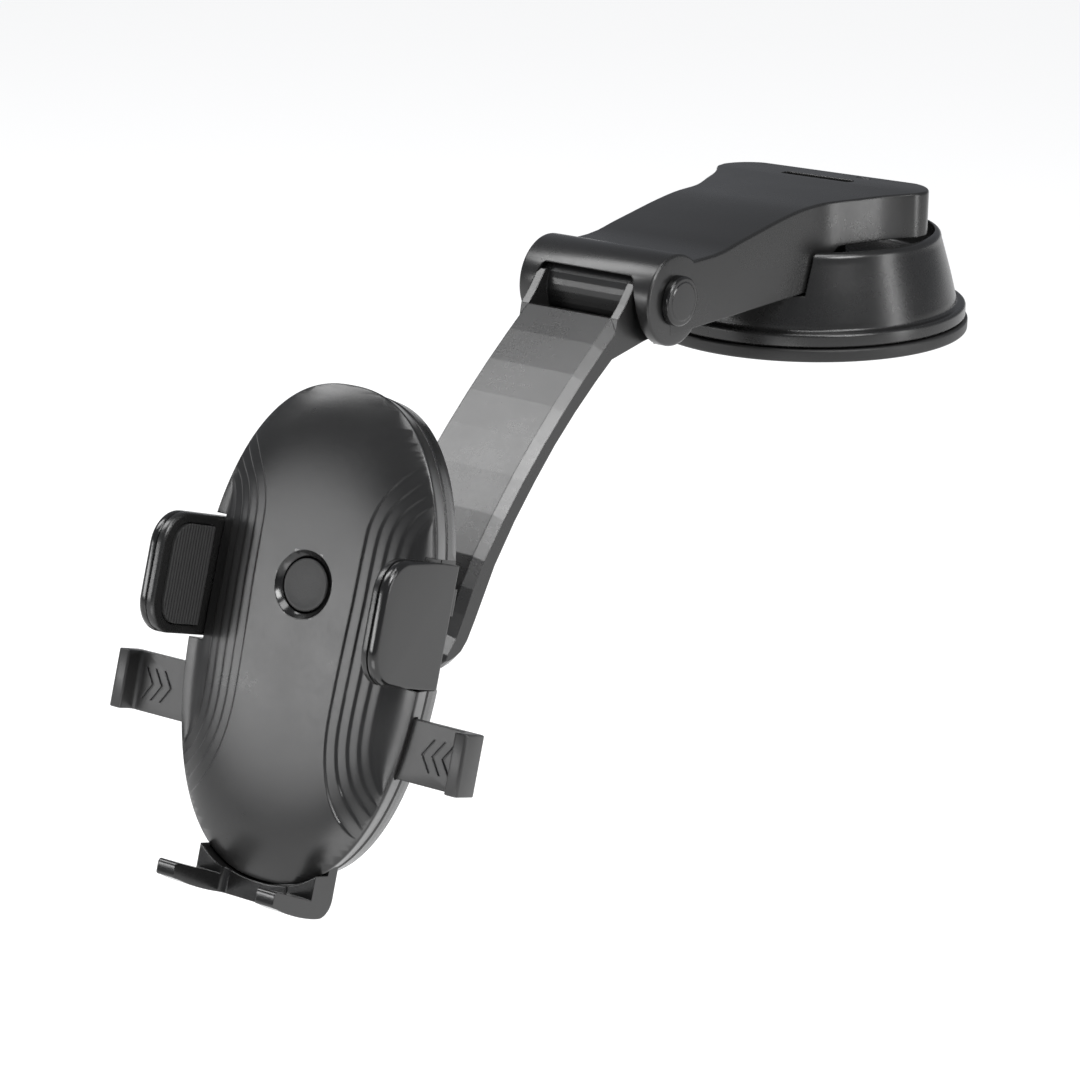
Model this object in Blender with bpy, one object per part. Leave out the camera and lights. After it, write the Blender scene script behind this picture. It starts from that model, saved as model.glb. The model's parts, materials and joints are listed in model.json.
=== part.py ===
"""Car phone mount: a suction base, a two-piece folding arm and a spring cradle on a ball.

Every named size is in millimetres and MM turns it into Blender's metres. +Z is up, the suction
face lies on z = 0 around the origin, the arm reaches out along -Y, and X = 0 is the middle plane.
The cradle is drawn flat in its own frame (x across, y up along the phone, z out of its face) and
an empty on the ball's centre tilts it. Each moving piece hangs from an empty on its joint's axis.
"""

from math import asin, cos, degrees, pi, radians, sin, sqrt

import bmesh
import bpy
from mathutils import Matrix, Vector

MM = 0.001
GAP = 0.3  # air between two pieces that bear on each other

# Suction base, turned about Z
PAD_RADIUS = 39.0
PAD_RIM_HEIGHT = 3.0
GEL_THICKNESS = 1.2
GEL_MARGIN = 1.6
FLANGE_RADIUS = 38.4
FLANGE_TOP = 6.6
DOME_FOOT_RADIUS = 36.1
DOME_TOP_RADIUS = 31.9
DOME_TOP = 24.0
DOME_EDGE = 1.6
DOME_WALL = 2.2
WELL_RADIUS = 30.3
WELL_FLOOR = 16.0
STEM_RADIUS = 3.0
STEM_FOOT_RADIUS = 9.0
STEM_FOOT_HEIGHT = 2.4
STEM_FOOT_BOTTOM = 4.7
SPRING_WIRE = 0.45

# Lock lever: the upper arm turns on a pin across the base and lifts the stem with a crank pin
LEVER_PIN_Y = -6.0
LEVER_PIN_Z = 28.5
LEVER_PIN_RADIUS = 2.0
CRANK_PIN_RADIUS = 1.5
CRANK_HALF = 8.5
LUG_THICKNESS = 3.2

# Upper arm
ARM_HALF = 17.95
ARM_WALL = 2.0
ARM_LOW_TOP = 30.1
HEAD_TOP = 35.0
ARM_RISE_FRONT = -62.0
ARM_RISE_BACK = -27.0
ARM_SIDE_BOTTOM = 15.2
ARM_SIDE_BACK = -25.0
HEAD_BOTTOM = 24.6
HEAD_HALF = 29.4
HEAD_BACK = 12.8
HEAD_CORNER = 9.0
HEAD_FLARE_START = -21.0
HEAD_FLARE_END = 3.5
SLOT_LENGTH = 20.0
SLOT_WIDTH = 3.0
SLOT_DEPTH = 1.0
SLOT_Y = 5.2

# Fold hinge, along X
FOLD_Y = -78.3
FOLD_Z = 22.6
BARREL_RADIUS = 10.1
BARREL_HALF = 17.6
BARREL_BORE = 9.1
BOLT_RADIUS = 3.0
CAP_RADIUS = 5.5
CAP_HEIGHT = 1.9
NUT_RECESS = 2.2
WASHER_THICKNESS = 0.9
WINDOW_LIP_ANGLE = 36.5

# Lower arm
LOWER_HALF = 13.3
LOWER_CHAMFER = 1.9
HUB_RADIUS = 8.3
CHEEK = 2.0
BALL_Y = -159.5
BALL_Z = -36.0

# Ball joint
BALL_RADIUS = 7.0
NECK_RADIUS = 3.2
LINER_THICKNESS = 1.4
NUT_RADIUS = 12.6
BOSS_RADIUS = 11.0
BALL_TO_FACE = 22.0

# Cradle, in its own frame: the rim of the face lies on z = 0
CRADLE_TILT = 19.5
CRADLE_TURN = 5.7
CRADLE_ROLL = 1.7
CRADLE_HALF_WIDTH = 28.5
CRADLE_HALF_HEIGHT = 50.0
OVAL_POWER = 2.33
FACE_RISE = 3.8
COVER_SPLIT = -6.0
CRADLE_BACK = -12.2
CRADLE_TAPER = 2.6
COVER_WALL = 1.8
POCKET_INNER = 21.6
POCKET_LOW = -9.0
POCKET_HIGH = 22.0
POCKET_FLOOR = 1.3
BUTTON_Y = 9.6
BUTTON_RADIUS = 5.35
BUTTON_STEM_RADIUS = 3.1
BUTTON_LEDGE = -2.3
BUTTON_RING_RADIUS = 6.75

# Jaws and squeeze tabs (the right-hand pieces; the left-hand ones mirror them)
JAW_OUTER = CRADLE_HALF_WIDTH + 0.7
JAW_THICKNESS = 3.8
JAW_BOTTOM = -5.5
JAW_TOP = 19.2
JAW_REACH = 17.5
JAW_REAR = -5.6
JAW_CORNER = 7.0
PAD_THICKNESS = 1.0
PAD_BORDER = 2.2
TAB_TOP = -11.5
TAB_BOTTOM = -23.7
TAB_FRONT = -1.3
TAB_THICKNESS = 2.2
TAB_LIP_INNER = CRADLE_HALF_WIDTH + 11.5
TAB_LIP_OUTER = TAB_LIP_INNER + 3.4
TAB_LIP_HEIGHT = 4.2
BAR_FRONT = -7.2
BAR_THICKNESS = 2.2
BAR_HEIGHT = 5.6
STRIP_INNER = 19.0
STRIP_OUTER = 22.6
PINION_Y = 5.0
PINION_TEETH = 10
PINION_PITCH_RADIUS = 3.2
TOOTH_HEIGHT = 0.9
PIVOT_RADIUS = 1.2

# Foot
FOOT_HALF = 14.5
FOOT_NOTCH_HALF = 8.2
FOOT_NOTCH_MOUTH = 10.2
HORN_FRONT = 2.0
HORN_LEAN = 0.9
HEEL_BEND = 3.8
HORN_TOP = -44.5
FOOT_REACH = 14.7
FOOT_THICKNESS = 3.2
FOOT_HEEL = -54.6
FOOT_RISE = 2.8
STEM_PLATE_FRONT = -2.2
STEM_PLATE_THICKNESS = 3.0
STEM_PLATE_TOP = -26.0

SCREW_HEAD_RADIUS = 1.9
SCREW_HEAD_HEIGHT = 1.2
SCREW_SHANK_RADIUS = 0.9

# Screw places and the pieces that they hold
CRANK_TOP = 32.6
CRANK_FLANGE_LOW = 28.9
CRANK_FLANGE_HIGH = 30.7
CRANK_FLANGE_HALF = 15.5
CRANK_FLANGE_FRONT = -1.5
CRANK_FLANGE_BACK = 10.2
CRANK_SCREWS = ((-12.0, 7.0), (12.0, 7.0))
CRANK_SCREW_LENGTH = 4.0
COVER_FRONT = -66.0
COVER_BACK = -36.0
COVER_SCREWS = ((0.0, -61.0), (0.0, -41.0))
BAY_HALF = 9.5
BAY_DEPTH = 1.7
BAY_LINE = ((-100.6, 5.8), (-129.2, -20.6))
BAY_COVER_LINE = ((-100.9, 5.5), (-128.9, -20.3))
BAY_NORMAL = (0.678, -0.735)
BAY_SCREWS = ((-105.0, 1.7), (-124.8, -16.5))
STUD_LENGTH = 15.0
TOE_SCREW_X = 20.5
TOE_FRONT = -5.2
BAR_A_LOW = PINION_Y + PINION_PITCH_RADIUS + TOOTH_HEIGHT
BAR_B_LOW = PINION_Y - PINION_PITCH_RADIUS - TOOTH_HEIGHT - BAR_HEIGHT
CRADLE_SCREWS = ((-11.0, 37.0), (11.0, 37.0), (-17.5, -31.0), (17.5, -31.0))



def clear_scene():
    for obj in list(bpy.data.objects):
        bpy.data.objects.remove(obj, do_unlink=True)


# ---------------------------------------------------------------------------------- materials


def finish(name, colour, roughness, metallic=0.0):
    material = bpy.data.materials.new(name)
    material.use_nodes = True
    shader = material.node_tree.nodes["Principled BSDF"]
    shader.inputs["Base Color"].default_value = (*colour, 1.0)
    shader.inputs["Roughness"].default_value = roughness
    shader.inputs["Metallic"].default_value = metallic
    material.diffuse_color = (*colour, 1.0)
    return material


# ---------------------------------------------------------------------------- frames and solids


class Frame:
    """An empty on a joint's axis, and the point of the drawing that it stands on."""

    def __init__(self, name, drawn_at, parent=None, world=None):
        self.empty = bpy.data.objects.new(name, None)
        self.empty.empty_display_size = 0.01
        bpy.context.scene.collection.objects.link(self.empty)
        self.drawn_at = Vector(drawn_at)
        if parent is None:
            self.empty.matrix_world = world or Matrix.Translation(self.drawn_at * MM)
        else:
            self.empty.parent = parent.empty
            self.empty.location = (self.drawn_at - parent.drawn_at) * MM


def place(name, bm, frame, material):
    """Makes an object of the bmesh, whose points are in the drawing's millimetres."""
    bmesh.ops.recalc_face_normals(bm, faces=bm.faces)
    bmesh.ops.translate(bm, verts=bm.verts, vec=-frame.drawn_at)
    bmesh.ops.scale(bm, verts=bm.verts, vec=(MM, MM, MM))
    mesh = bpy.data.meshes.new(name)
    bm.to_mesh(mesh)
    bm.free()
    obj = bpy.data.objects.new(name, mesh)
    obj.parent = frame.empty
    bpy.context.scene.collection.objects.link(obj)
    if material:
        mesh.materials.append(material)
    return obj


def boolean(obj, operation, bm, frame):
    """Cuts the bmesh out of the object, or joins it on."""
    tool = place(f"{obj.name}_{operation.lower()}_{len(obj.modifiers)}", bm, frame, None)
    tool.hide_render = True
    tool.display_type = "WIRE"
    modifier = obj.modifiers.new(tool.name, "BOOLEAN")
    modifier.operation = operation
    modifier.solver = "EXACT"
    modifier.object = tool


def cut(obj, bm, frame):
    boolean(obj, "DIFFERENCE", bm, frame)


def join(obj, bm, frame):
    boolean(obj, "UNION", bm, frame)


def smooth(obj, angle=35.0):
    for polygon in obj.data.polygons:
        polygon.use_smooth = True
    obj.data.set_sharp_from_angle(angle=radians(angle))


def soften(obj, width, segments=2, angle=40.0):
    modifier = obj.modifiers.new("soft edges", "BEVEL")
    modifier.width = width * MM
    modifier.segments = segments
    modifier.limit_method = "ANGLE"
    modifier.angle_limit = radians(angle)


def box(low, high):
    bm = bmesh.new()
    bmesh.ops.create_cube(bm, size=1.0)
    size = Vector(high) - Vector(low)
    bmesh.ops.scale(bm, verts=bm.verts, vec=size)
    bmesh.ops.translate(bm, verts=bm.verts, vec=Vector(low) + size / 2)
    return bm


def prism(outline, axis, low, high):
    """Extrudes a flat outline along X, Y or Z. The outline gives the other two coordinates."""
    bm = bmesh.new()
    at = {
        "X": lambda a, b: (low, a, b),
        "Y": lambda a, b: (a, low, b),
        "Z": lambda a, b: (a, b, low),
    }[axis]
    face = bm.faces.new([bm.verts.new(at(a, b)) for a, b in outline])
    moved = bmesh.ops.extrude_face_region(bm, geom=[face])["geom"]
    step = {"X": (high - low, 0, 0), "Y": (0, high - low, 0), "Z": (0, 0, high - low)}[axis]
    verts = [part for part in moved if isinstance(part, bmesh.types.BMVert)]
    bmesh.ops.translate(bm, verts=verts, vec=step)
    return bm


def turned(profile, steps, centre=(0.0, 0.0, 0.0), axis="Z"):
    """Spins a closed outline of (radius, height) points about an axis through centre."""
    bm = bmesh.new()
    verts = [bm.verts.new((r, 0.0, h)) for r, h in profile]
    edges = [bm.edges.new((a, b)) for a, b in zip(verts, verts[1:] + verts[:1])]
    bmesh.ops.spin(
        bm,
        geom=verts + edges,
        cent=(0, 0, 0),
        axis=(0, 0, 1),
        angle=2 * pi,
        steps=steps,
        use_merge=True,
    )
    bmesh.ops.remove_doubles(bm, verts=bm.verts, dist=1e-4)
    loose = [edge for edge in bm.edges if not edge.link_faces]
    bmesh.ops.delete(bm, geom=loose, context="EDGES")
    bmesh.ops.recalc_face_normals(bm, faces=bm.faces)
    if axis == "X":
        bmesh.ops.rotate(bm, verts=bm.verts, matrix=Matrix.Rotation(pi / 2, 3, "Y"))
    bmesh.ops.translate(bm, verts=bm.verts, vec=centre)
    return bm


def rod(radius, low, high, steps, centre=(0.0, 0.0, 0.0), axis="Z", chamfer=0.0):
    c = chamfer
    profile = [(0, low), (radius - c, low), (radius, low + c), (radius, high - c)]
    profile += [(radius - c, high), (0, high)]
    if not c:
        profile = [(0, low), (radius, low), (radius, high), (0, high)]
    return turned(profile, steps, centre, axis)


def arc(centre, radius, start, end, count):
    """Points on a circle from one angle to another, in degrees."""
    steps = [radians(start + (end - start) * i / (count - 1)) for i in range(count)]
    return [(centre[0] + radius * cos(a), centre[1] + radius * sin(a)) for a in steps]


def rounded_rectangle(low, high, radii, count=5):
    """Corner radii go round from the lower left one, anticlockwise. A radius of 0 is a plain corner."""
    corners = [(low[0], low[1]), (high[0], low[1]), (high[0], high[1]), (low[0], high[1])]
    inward = [(1, 1), (-1, 1), (-1, -1), (1, -1)]
    points = []
    for (x, y), (ix, iy), r, start in zip(corners, inward, radii, (180, 270, 0, 90)):
        if r:
            points += arc((x + ix * r, y + iy * r), r, start, start + 90, count)
        else:
            points.append((x, y))
    return points


def oval(half_width, half_height, count=44):
    """The cradle's outline: a superellipse, fuller than an ellipse."""
    points = []
    for i in range(count):
        a = 2 * pi * i / count
        x = abs(cos(a)) ** (2 / OVAL_POWER) * half_width * (1 if cos(a) >= 0 else -1)
        y = abs(sin(a)) ** (2 / OVAL_POWER) * half_height * (1 if sin(a) >= 0 else -1)
        points.append((x, y))
    return points


def lofted(rings):
    """Bridges closed rings of equal count, each (points, z), and caps the first and the last."""
    bm = bmesh.new()
    loops = [[bm.verts.new((x, y, z)) for x, y in points] for points, z in rings]
    for lower, upper in zip(loops, loops[1:]):
        count = len(lower)
        for i in range(count):
            j = (i + 1) % count
            bm.faces.new((lower[i], lower[j], upper[j], upper[i]))
    bm.faces.new(loops[0])
    bm.faces.new(loops[-1])
    return bm


def coil(radius, wire, start, end, turns, axis, centre, sides=5, per_turn=10):
    """A helical spring along an axis, swept ring by ring."""
    bm = bmesh.new()
    count = int(turns * per_turn)
    pitch = (end - start) / turns
    rings = []
    for i in range(count + 1):
        a = 2 * pi * i / per_turn
        middle = Vector((radius * cos(a), radius * sin(a), start + (end - start) * i / count))
        out = Vector((cos(a), sin(a), 0))
        along = Vector((-radius * sin(a), radius * cos(a), pitch / (2 * pi))).normalized()
        side = along.cross(out)
        ring = []
        for k in range(sides):
            b = 2 * pi * k / sides
            ring.append(bm.verts.new(middle + (out * cos(b) + side * sin(b)) * wire))
        rings.append(ring)
    for one, two in zip(rings, rings[1:]):
        for k in range(sides):
            m = (k + 1) % sides
            bm.faces.new((one[k], one[m], two[m], two[k]))
    bm.faces.new(rings[0])
    bm.faces.new(rings[-1])
    bmesh.ops.recalc_face_normals(bm, faces=bm.faces)
    if axis == "X":
        bmesh.ops.rotate(bm, verts=bm.verts, matrix=Matrix.Rotation(pi / 2, 3, "Y"))
    bmesh.ops.translate(bm, verts=bm.verts, vec=centre)
    return bm


def mirrored(bm):
    bmesh.ops.scale(bm, verts=bm.verts, vec=(-1, 1, 1))
    bmesh.ops.reverse_faces(bm, faces=bm.faces)
    return bm


def screw(name, frame, material, at, direction, length):
    """A pan-head screw: the head's top is at the point and the shank runs along the direction."""
    head, shank, depth = SCREW_HEAD_RADIUS, SCREW_SHANK_RADIUS, SCREW_HEAD_HEIGHT
    profile = [(0, 0.35), (0.7, 0.35), (0.95, 0), (head - 0.3, 0), (head, 0.35), (head, depth)]
    profile += [(shank, depth), (shank, length - 0.4), (shank - 0.4, length), (0, length)]
    bm = turned(profile, 8)
    turn = Vector((0, 0, 1)).rotation_difference(Vector(direction)).to_matrix()
    bmesh.ops.rotate(bm, verts=bm.verts, matrix=turn)
    bmesh.ops.translate(bm, verts=bm.verts, vec=at)
    obj = place(name, bm, frame, material)
    smooth(obj)
    return obj


def screw_hole(at, direction, length):
    """What the screw needs: its own outline with a gap all round."""
    head = SCREW_HEAD_RADIUS + GAP
    shank = SCREW_SHANK_RADIUS + 0.15
    seat = SCREW_HEAD_HEIGHT + 0.2
    profile = [(0, -6), (head, -6), (head, seat), (shank, seat), (shank, length + 0.4)]
    profile += [(0, length + 0.4)]
    bm = turned(profile, 8)
    turn = Vector((0, 0, 1)).rotation_difference(Vector(direction)).to_matrix()
    bmesh.ops.rotate(bm, verts=bm.verts, matrix=turn)
    bmesh.ops.translate(bm, verts=bm.verts, vec=at)
    return bm


# ---------------------------------------------------------------------------------- suction base


def suction_pieces(frame, plastic, soft, gel):
    gel_radius = PAD_RADIUS - GEL_MARGIN
    pad = place("gel_pad", rod(gel_radius, 0, GEL_THICKNESS, 48), frame, gel)
    smooth(pad)

    rim, roof = PAD_RIM_HEIGHT, GEL_THICKNESS + GAP
    foot = STEM_FOOT_RADIUS + GAP
    foot_low = STEM_FOOT_BOTTOM - GAP
    foot_top = STEM_FOOT_BOTTOM + STEM_FOOT_HEIGHT
    profile = [(gel_radius + GAP, 0), (PAD_RADIUS - 0.5, 0), (PAD_RADIUS, 0.6), (PAD_RADIUS, rim - 0.4)]
    profile += [(PAD_RADIUS - 0.5, rim), (FLANGE_RADIUS - 3, rim), (foot + 6, rim + 0.4)]
    profile += [(foot + 1.6, foot_top + GAP + 1.2), (STEM_RADIUS + 1, foot_top + GAP + 1.2)]
    profile += [(STEM_RADIUS + 1, foot_top + GAP), (foot, foot_top + GAP), (foot, foot_low)]
    profile += [(0, foot_low), (0, roof), (gel_radius + GAP, roof)]
    cup = place("suction_cup", turned(profile, 48), frame, soft)
    smooth(cup)

    z0 = PAD_RIM_HEIGHT + GAP
    top, edge = DOME_TOP, DOME_EDGE
    foot_r = DOME_FOOT_RADIUS
    profile = [(FLANGE_RADIUS - 0.4, z0), (FLANGE_RADIUS, z0 + 0.4)]
    profile += arc((FLANGE_RADIUS - 1.0, FLANGE_TOP - 1.2), 1.0, 0, 90, 4)
    profile += [(foot_r + 0.5, FLANGE_TOP), (foot_r - 0.05, FLANGE_TOP + 0.6)]
    profile += arc((DOME_TOP_RADIUS - edge, top - edge), edge, 12, 90, 4)
    profile += [(WELL_RADIUS, top - 0.5), (WELL_RADIUS - 0.3, WELL_FLOOR)]
    stem_hole = STEM_RADIUS + GAP
    profile += [(stem_hole, WELL_FLOOR), (stem_hole, WELL_FLOOR - DOME_WALL)]
    profile += [(WELL_RADIUS - 2, WELL_FLOOR - DOME_WALL), (foot_r - DOME_WALL - 0.6, 8.0)]
    profile += [(foot_r - DOME_WALL, z0)]
    housing = place("base_housing", turned(profile, 48), frame, plastic)
    slot_half = ARM_HALF + 0.6
    slot_floor = ARM_SIDE_BOTTOM - 0.7
    arm_slot = [(-45, slot_floor), (ARM_SIDE_BACK + 0.6, slot_floor), (-16.0, HEAD_BOTTOM - 1.6)]
    arm_slot += [(-16.0, DOME_TOP + 4), (-45, DOME_TOP + 4)]
    cut(housing, prism(arm_slot, "X", -slot_half, slot_half), frame)
    # Two lugs carry the lever's pin on each side of the crank
    for side in (-1, 1):
        inner = side * (CRANK_HALF + GAP)
        outer = side * (CRANK_HALF + GAP + LUG_THICKNESS)
        lug = [(LEVER_PIN_Y - 4.5, WELL_FLOOR - 1), (LEVER_PIN_Y + 4.5, WELL_FLOOR - 1)]
        lug += arc((LEVER_PIN_Y, LEVER_PIN_Z), 3.6, 0, 180, 7)
        join(housing, prism(lug, "X", min(inner, outer), max(inner, outer)), frame)
    pin_hole = rod(LEVER_PIN_RADIUS + GAP, -20, 20, 16, (0, LEVER_PIN_Y, LEVER_PIN_Z), "X")
    cut(housing, pin_hole, frame)
    smooth(housing)

    pin_half = CRANK_HALF + GAP + LUG_THICKNESS + 1.2
    pin = rod(LEVER_PIN_RADIUS, -pin_half, pin_half, 16, (0, LEVER_PIN_Y, LEVER_PIN_Z), "X", 0.3)
    smooth(place("lever_pin", pin, frame, steel))


def stem_pieces(frame):
    bottom = STEM_FOOT_BOTTOM
    neck = bottom + STEM_FOOT_HEIGHT
    profile = [(0, bottom), (STEM_FOOT_RADIUS, bottom), (STEM_FOOT_RADIUS, neck)]
    profile += [(STEM_RADIUS, neck), (STEM_RADIUS, LEVER_PIN_Z - 4.5), (0, LEVER_PIN_Z - 4.5)]
    stem = place("pull_stem", turned(profile, 24), frame, steel)
    eye = box((-2.2, -3.2, LEVER_PIN_Z - 5.5), (2.2, 3.2, LEVER_PIN_Z + 2.6))
    join(stem, eye, frame)
    # The eye is longer than the crank pin is wide, because the pin swings on an arc
    slot = rounded_rectangle((-2.4, -1.75), (2.4, 1.75), (1.7,) * 4, 4)
    slot = [(a, LEVER_PIN_Z + b) for a, b in slot]
    cut(stem, prism(slot, "X", -4, 4), frame)
    smooth(stem)
    low = neck + GAP + 1.2 + 0.5
    high = WELL_FLOOR - DOME_WALL - 0.7
    spring = coil(STEM_RADIUS + 2.4, SPRING_WIRE, low, high, 2.5, "Z", (0, 0, 0), 4, 9)
    smooth(place("stem_spring", spring, frame, steel), 60)


# ---------------------------------------------------------------------------------- upper arm


def head_half(y):
    """Half the arm's width: straight, then an S-curve out to the head's sides."""
    if y <= HEAD_FLARE_START:
        return ARM_HALF
    t = min(1.0, (y - HEAD_FLARE_START) / (HEAD_FLARE_END - HEAD_FLARE_START))
    return ARM_HALF + (HEAD_HALF - ARM_HALF) * t * t * (3 - 2 * t)


def head_outline(inset, front):
    """The plan of arm and head, from the front edge round the back. Inset is the wall left outside."""
    ys = [HEAD_FLARE_START + (HEAD_FLARE_END - HEAD_FLARE_START) * i / 9 for i in range(10)]
    right = [(ARM_HALF - inset, front)] + [(head_half(y) - inset, y) for y in ys[:-1]]
    r = HEAD_CORNER - inset
    right += arc((HEAD_HALF - HEAD_CORNER, HEAD_BACK - HEAD_CORNER), r, 0, 90, 6)
    return right + [(-x, y) for x, y in reversed(right)]


def arm_top(y):
    t = min(1.0, max(0.0, (y - ARM_RISE_FRONT) / (ARM_RISE_BACK - ARM_RISE_FRONT)))
    t = 0.75 * t + 0.25 * t * t * (3 - 2 * t)
    return ARM_LOW_TOP + (HEAD_TOP - ARM_LOW_TOP) * t


def arm_side(offset):
    """The arm's side view. Offset draws the inside, one wall in from the top and open below."""
    ys = [FOLD_Y, ARM_RISE_FRONT, -52, -42, -34, ARM_RISE_BACK, HEAD_BACK + 1]
    top = [(y, arm_top(y) - offset) for y in ys]
    under = [(HEAD_BACK + 1, HEAD_BOTTOM), (-17.0, HEAD_BOTTOM), (ARM_SIDE_BACK, ARM_SIDE_BOTTOM)]
    under += [(FOLD_Y, ARM_SIDE_BOTTOM)]
    if offset:
        under = [(HEAD_BACK + 1, 5), (FOLD_Y, 5)]
    return top + under


def upper_arm_pieces(frame, plastic, dark):
    shell = place("upper_arm_shell", prism(arm_side(0), "X", -40, 40), frame, plastic)
    front = FOLD_Y - 2
    plan = prism(head_outline(0, front), "Z", -5, 50)
    boolean(shell, "INTERSECT", plan, frame)
    barrel = rod(BARREL_RADIUS, -BARREL_HALF, BARREL_HALF, 48, (0, FOLD_Y, FOLD_Z), "X")
    join(shell, barrel, frame)
    inside = place("upper_arm_inside", prism(arm_side(ARM_WALL), "X", -40, 40), frame, None)
    boolean(inside, "INTERSECT", prism(head_outline(ARM_WALL, FOLD_Y + 9.5), "Z", -5, 50), frame)
    inside.hide_render = True
    inside.display_type = "WIRE"
    hollow = shell.modifiers.new("inside", "BOOLEAN")
    hollow.operation = "DIFFERENCE"
    hollow.solver = "EXACT"
    hollow.object = inside

    # Room between the ears for the hub and the cheeks, open to the front below the lip and underneath
    inner_ear = LOWER_HALF + 0.5
    lip_rise = BARREL_RADIUS * sin(radians(WINDOW_LIP_ANGLE))
    lip = FOLD_Z + lip_rise
    lip_angle = 180 - degrees(asin(lip_rise / BARREL_BORE))
    room = [(FOLD_Y - 15, lip)] + arc((FOLD_Y, FOLD_Z), BARREL_BORE, lip_angle, -15, 14)
    room += [(FOLD_Y + 12, FOLD_Z - 14), (FOLD_Y - 15, FOLD_Z - 14)]
    cut(shell, prism(room, "X", -inner_ear, inner_ear), frame)
    # The front opening widens downwards
    window = [(1.0 - inner_ear, lip - 1.0), (-inner_ear - 1.9, FOLD_Z - 15)]
    window += [(inner_ear + 1.9, FOLD_Z - 15), (inner_ear - 1.0, lip - 1.0)]
    cut(shell, prism(window, "Y", FOLD_Y - 20, FOLD_Y - 2.5), frame)
    bolt_hole = rod(BOLT_RADIUS + GAP, -25, 25, 20, (0, FOLD_Y, FOLD_Z), "X")
    cut(shell, bolt_hole, frame)
    recess = rod(CAP_RADIUS + GAP, -25, NUT_RECESS - ARM_HALF, 28, (0, FOLD_Y, FOLD_Z), "X")
    cut(shell, recess, frame)
    slot_low = (-SLOT_LENGTH / 2 - 1.0, SLOT_Y - SLOT_WIDTH / 2)
    slot_high = (SLOT_LENGTH / 2 - 1.0, SLOT_Y + SLOT_WIDTH / 2)
    slot = rounded_rectangle(slot_low, slot_high, (1.4,) * 4, 4)
    cut(shell, prism(slot, "Z", HEAD_TOP - SLOT_DEPTH, HEAD_TOP + 5), frame)
    # Bosses under the top take the screws of the crank and of the bottom cover
    for x, y in CRANK_SCREWS:
        boss = rod(2.6, CRANK_FLANGE_HIGH + GAP, arm_top(y) - 1.5, 12, (x, y, 0))
        join(shell, boss, frame)
        hole = screw_hole((x, y, CRANK_FLANGE_LOW + 0.1), (0, 0, 1), CRANK_SCREW_LENGTH + 0.3)
        cut(shell, hole, frame)
    for x, y in COVER_SCREWS:
        boss = rod(2.6, ARM_SIDE_BOTTOM + 2.6, arm_top(y) - 1.5, 12, (x, y, 0))
        join(shell, boss, frame)
        cut(shell, screw_hole((x, y, ARM_SIDE_BOTTOM + 0.6), (0, 0, 1), 9), frame)
    smooth(shell)

    # The plate that closes the arm from below, between the hinge and the base
    half = ARM_HALF - ARM_WALL - GAP
    plate = rounded_rectangle((-half, COVER_FRONT), (half, COVER_BACK), (2, 2, 2, 2), 4)
    cover = prism(plate, "Z", ARM_SIDE_BOTTOM + 0.4, ARM_SIDE_BOTTOM + 2.2)
    cover = place("upper_arm_bottom_cover", cover, frame, dark)
    for number, (x, y) in enumerate(COVER_SCREWS, 1):
        at = (x, y, ARM_SIDE_BOTTOM + 0.6)
        cut(cover, screw_hole(at, (0, 0, 1), 9), frame)
        screw(f"upper_cover_screw_{number}", frame, steel, at, (0, 0, 1), 8)
    smooth(cover)

    # The crank: a block under the head that turns on the lever pin and carries the stem's pin
    y0, z0 = LEVER_PIN_Y, LEVER_PIN_Z
    side = arc((y0, z0), 3.4, 180, 270, 5) + arc((0, z0), 3.2, 270, 360, 5)
    side += [(3.2, CRANK_TOP), (y0 - 3.4, CRANK_TOP)]
    block = prism(side, "X", -CRANK_HALF, CRANK_HALF)
    crank = place("lever_crank", block, frame, dark)
    flange_low = (-CRANK_FLANGE_HALF, CRANK_FLANGE_FRONT)
    flange_high = (CRANK_FLANGE_HALF, CRANK_FLANGE_BACK)
    flange = rounded_rectangle(flange_low, flange_high, (2.5,) * 4, 4)
    join(crank, prism(flange, "Z", CRANK_FLANGE_LOW, CRANK_FLANGE_HIGH), frame)
    cut(crank, box((-2.6, -3.7, 10), (2.6, CRANK_FLANGE_BACK - 2, CRANK_TOP + 5)), frame)
    cut(crank, rod(LEVER_PIN_RADIUS + GAP, -15, 15, 16, (0, y0, z0), "X"), frame)
    cut(crank, rod(CRANK_PIN_RADIUS + 0.15, -7.5, 15, 16, (0, 0, z0), "X"), frame)
    for number, (x, y) in enumerate(CRANK_SCREWS, 1):
        at = (x, y, CRANK_FLANGE_LOW + 0.1)
        cut(crank, screw_hole(at, (0, 0, 1), 6.5), frame)
        screw(f"crank_screw_{number}", frame, steel, at, (0, 0, 1), CRANK_SCREW_LENGTH)
    smooth(crank)
    crank_pin = rod(CRANK_PIN_RADIUS, -7.2, 8.2, 16, (0, 0, z0), "X", 0.2)
    smooth(place("crank_pin", crank_pin, frame, steel))

    # The hinge bolt runs through both ears and ends in a round cap on each side
    cap = CAP_HEIGHT
    shank_end = ARM_HALF + GAP
    edge = 0.8
    profile = [(0, -BARREL_HALF + 4), (BOLT_RADIUS, -BARREL_HALF + 4), (BOLT_RADIUS, shank_end)]
    profile += [(CAP_RADIUS, shank_end), (CAP_RADIUS, shank_end + cap - edge)]
    profile += [(CAP_RADIUS - edge, shank_end + cap), (0, shank_end + cap)]
    bolt = turned(profile, 32, (0, FOLD_Y, FOLD_Z), "X")
    smooth(place("fold_bolt", bolt, frame, plastic))
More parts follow.
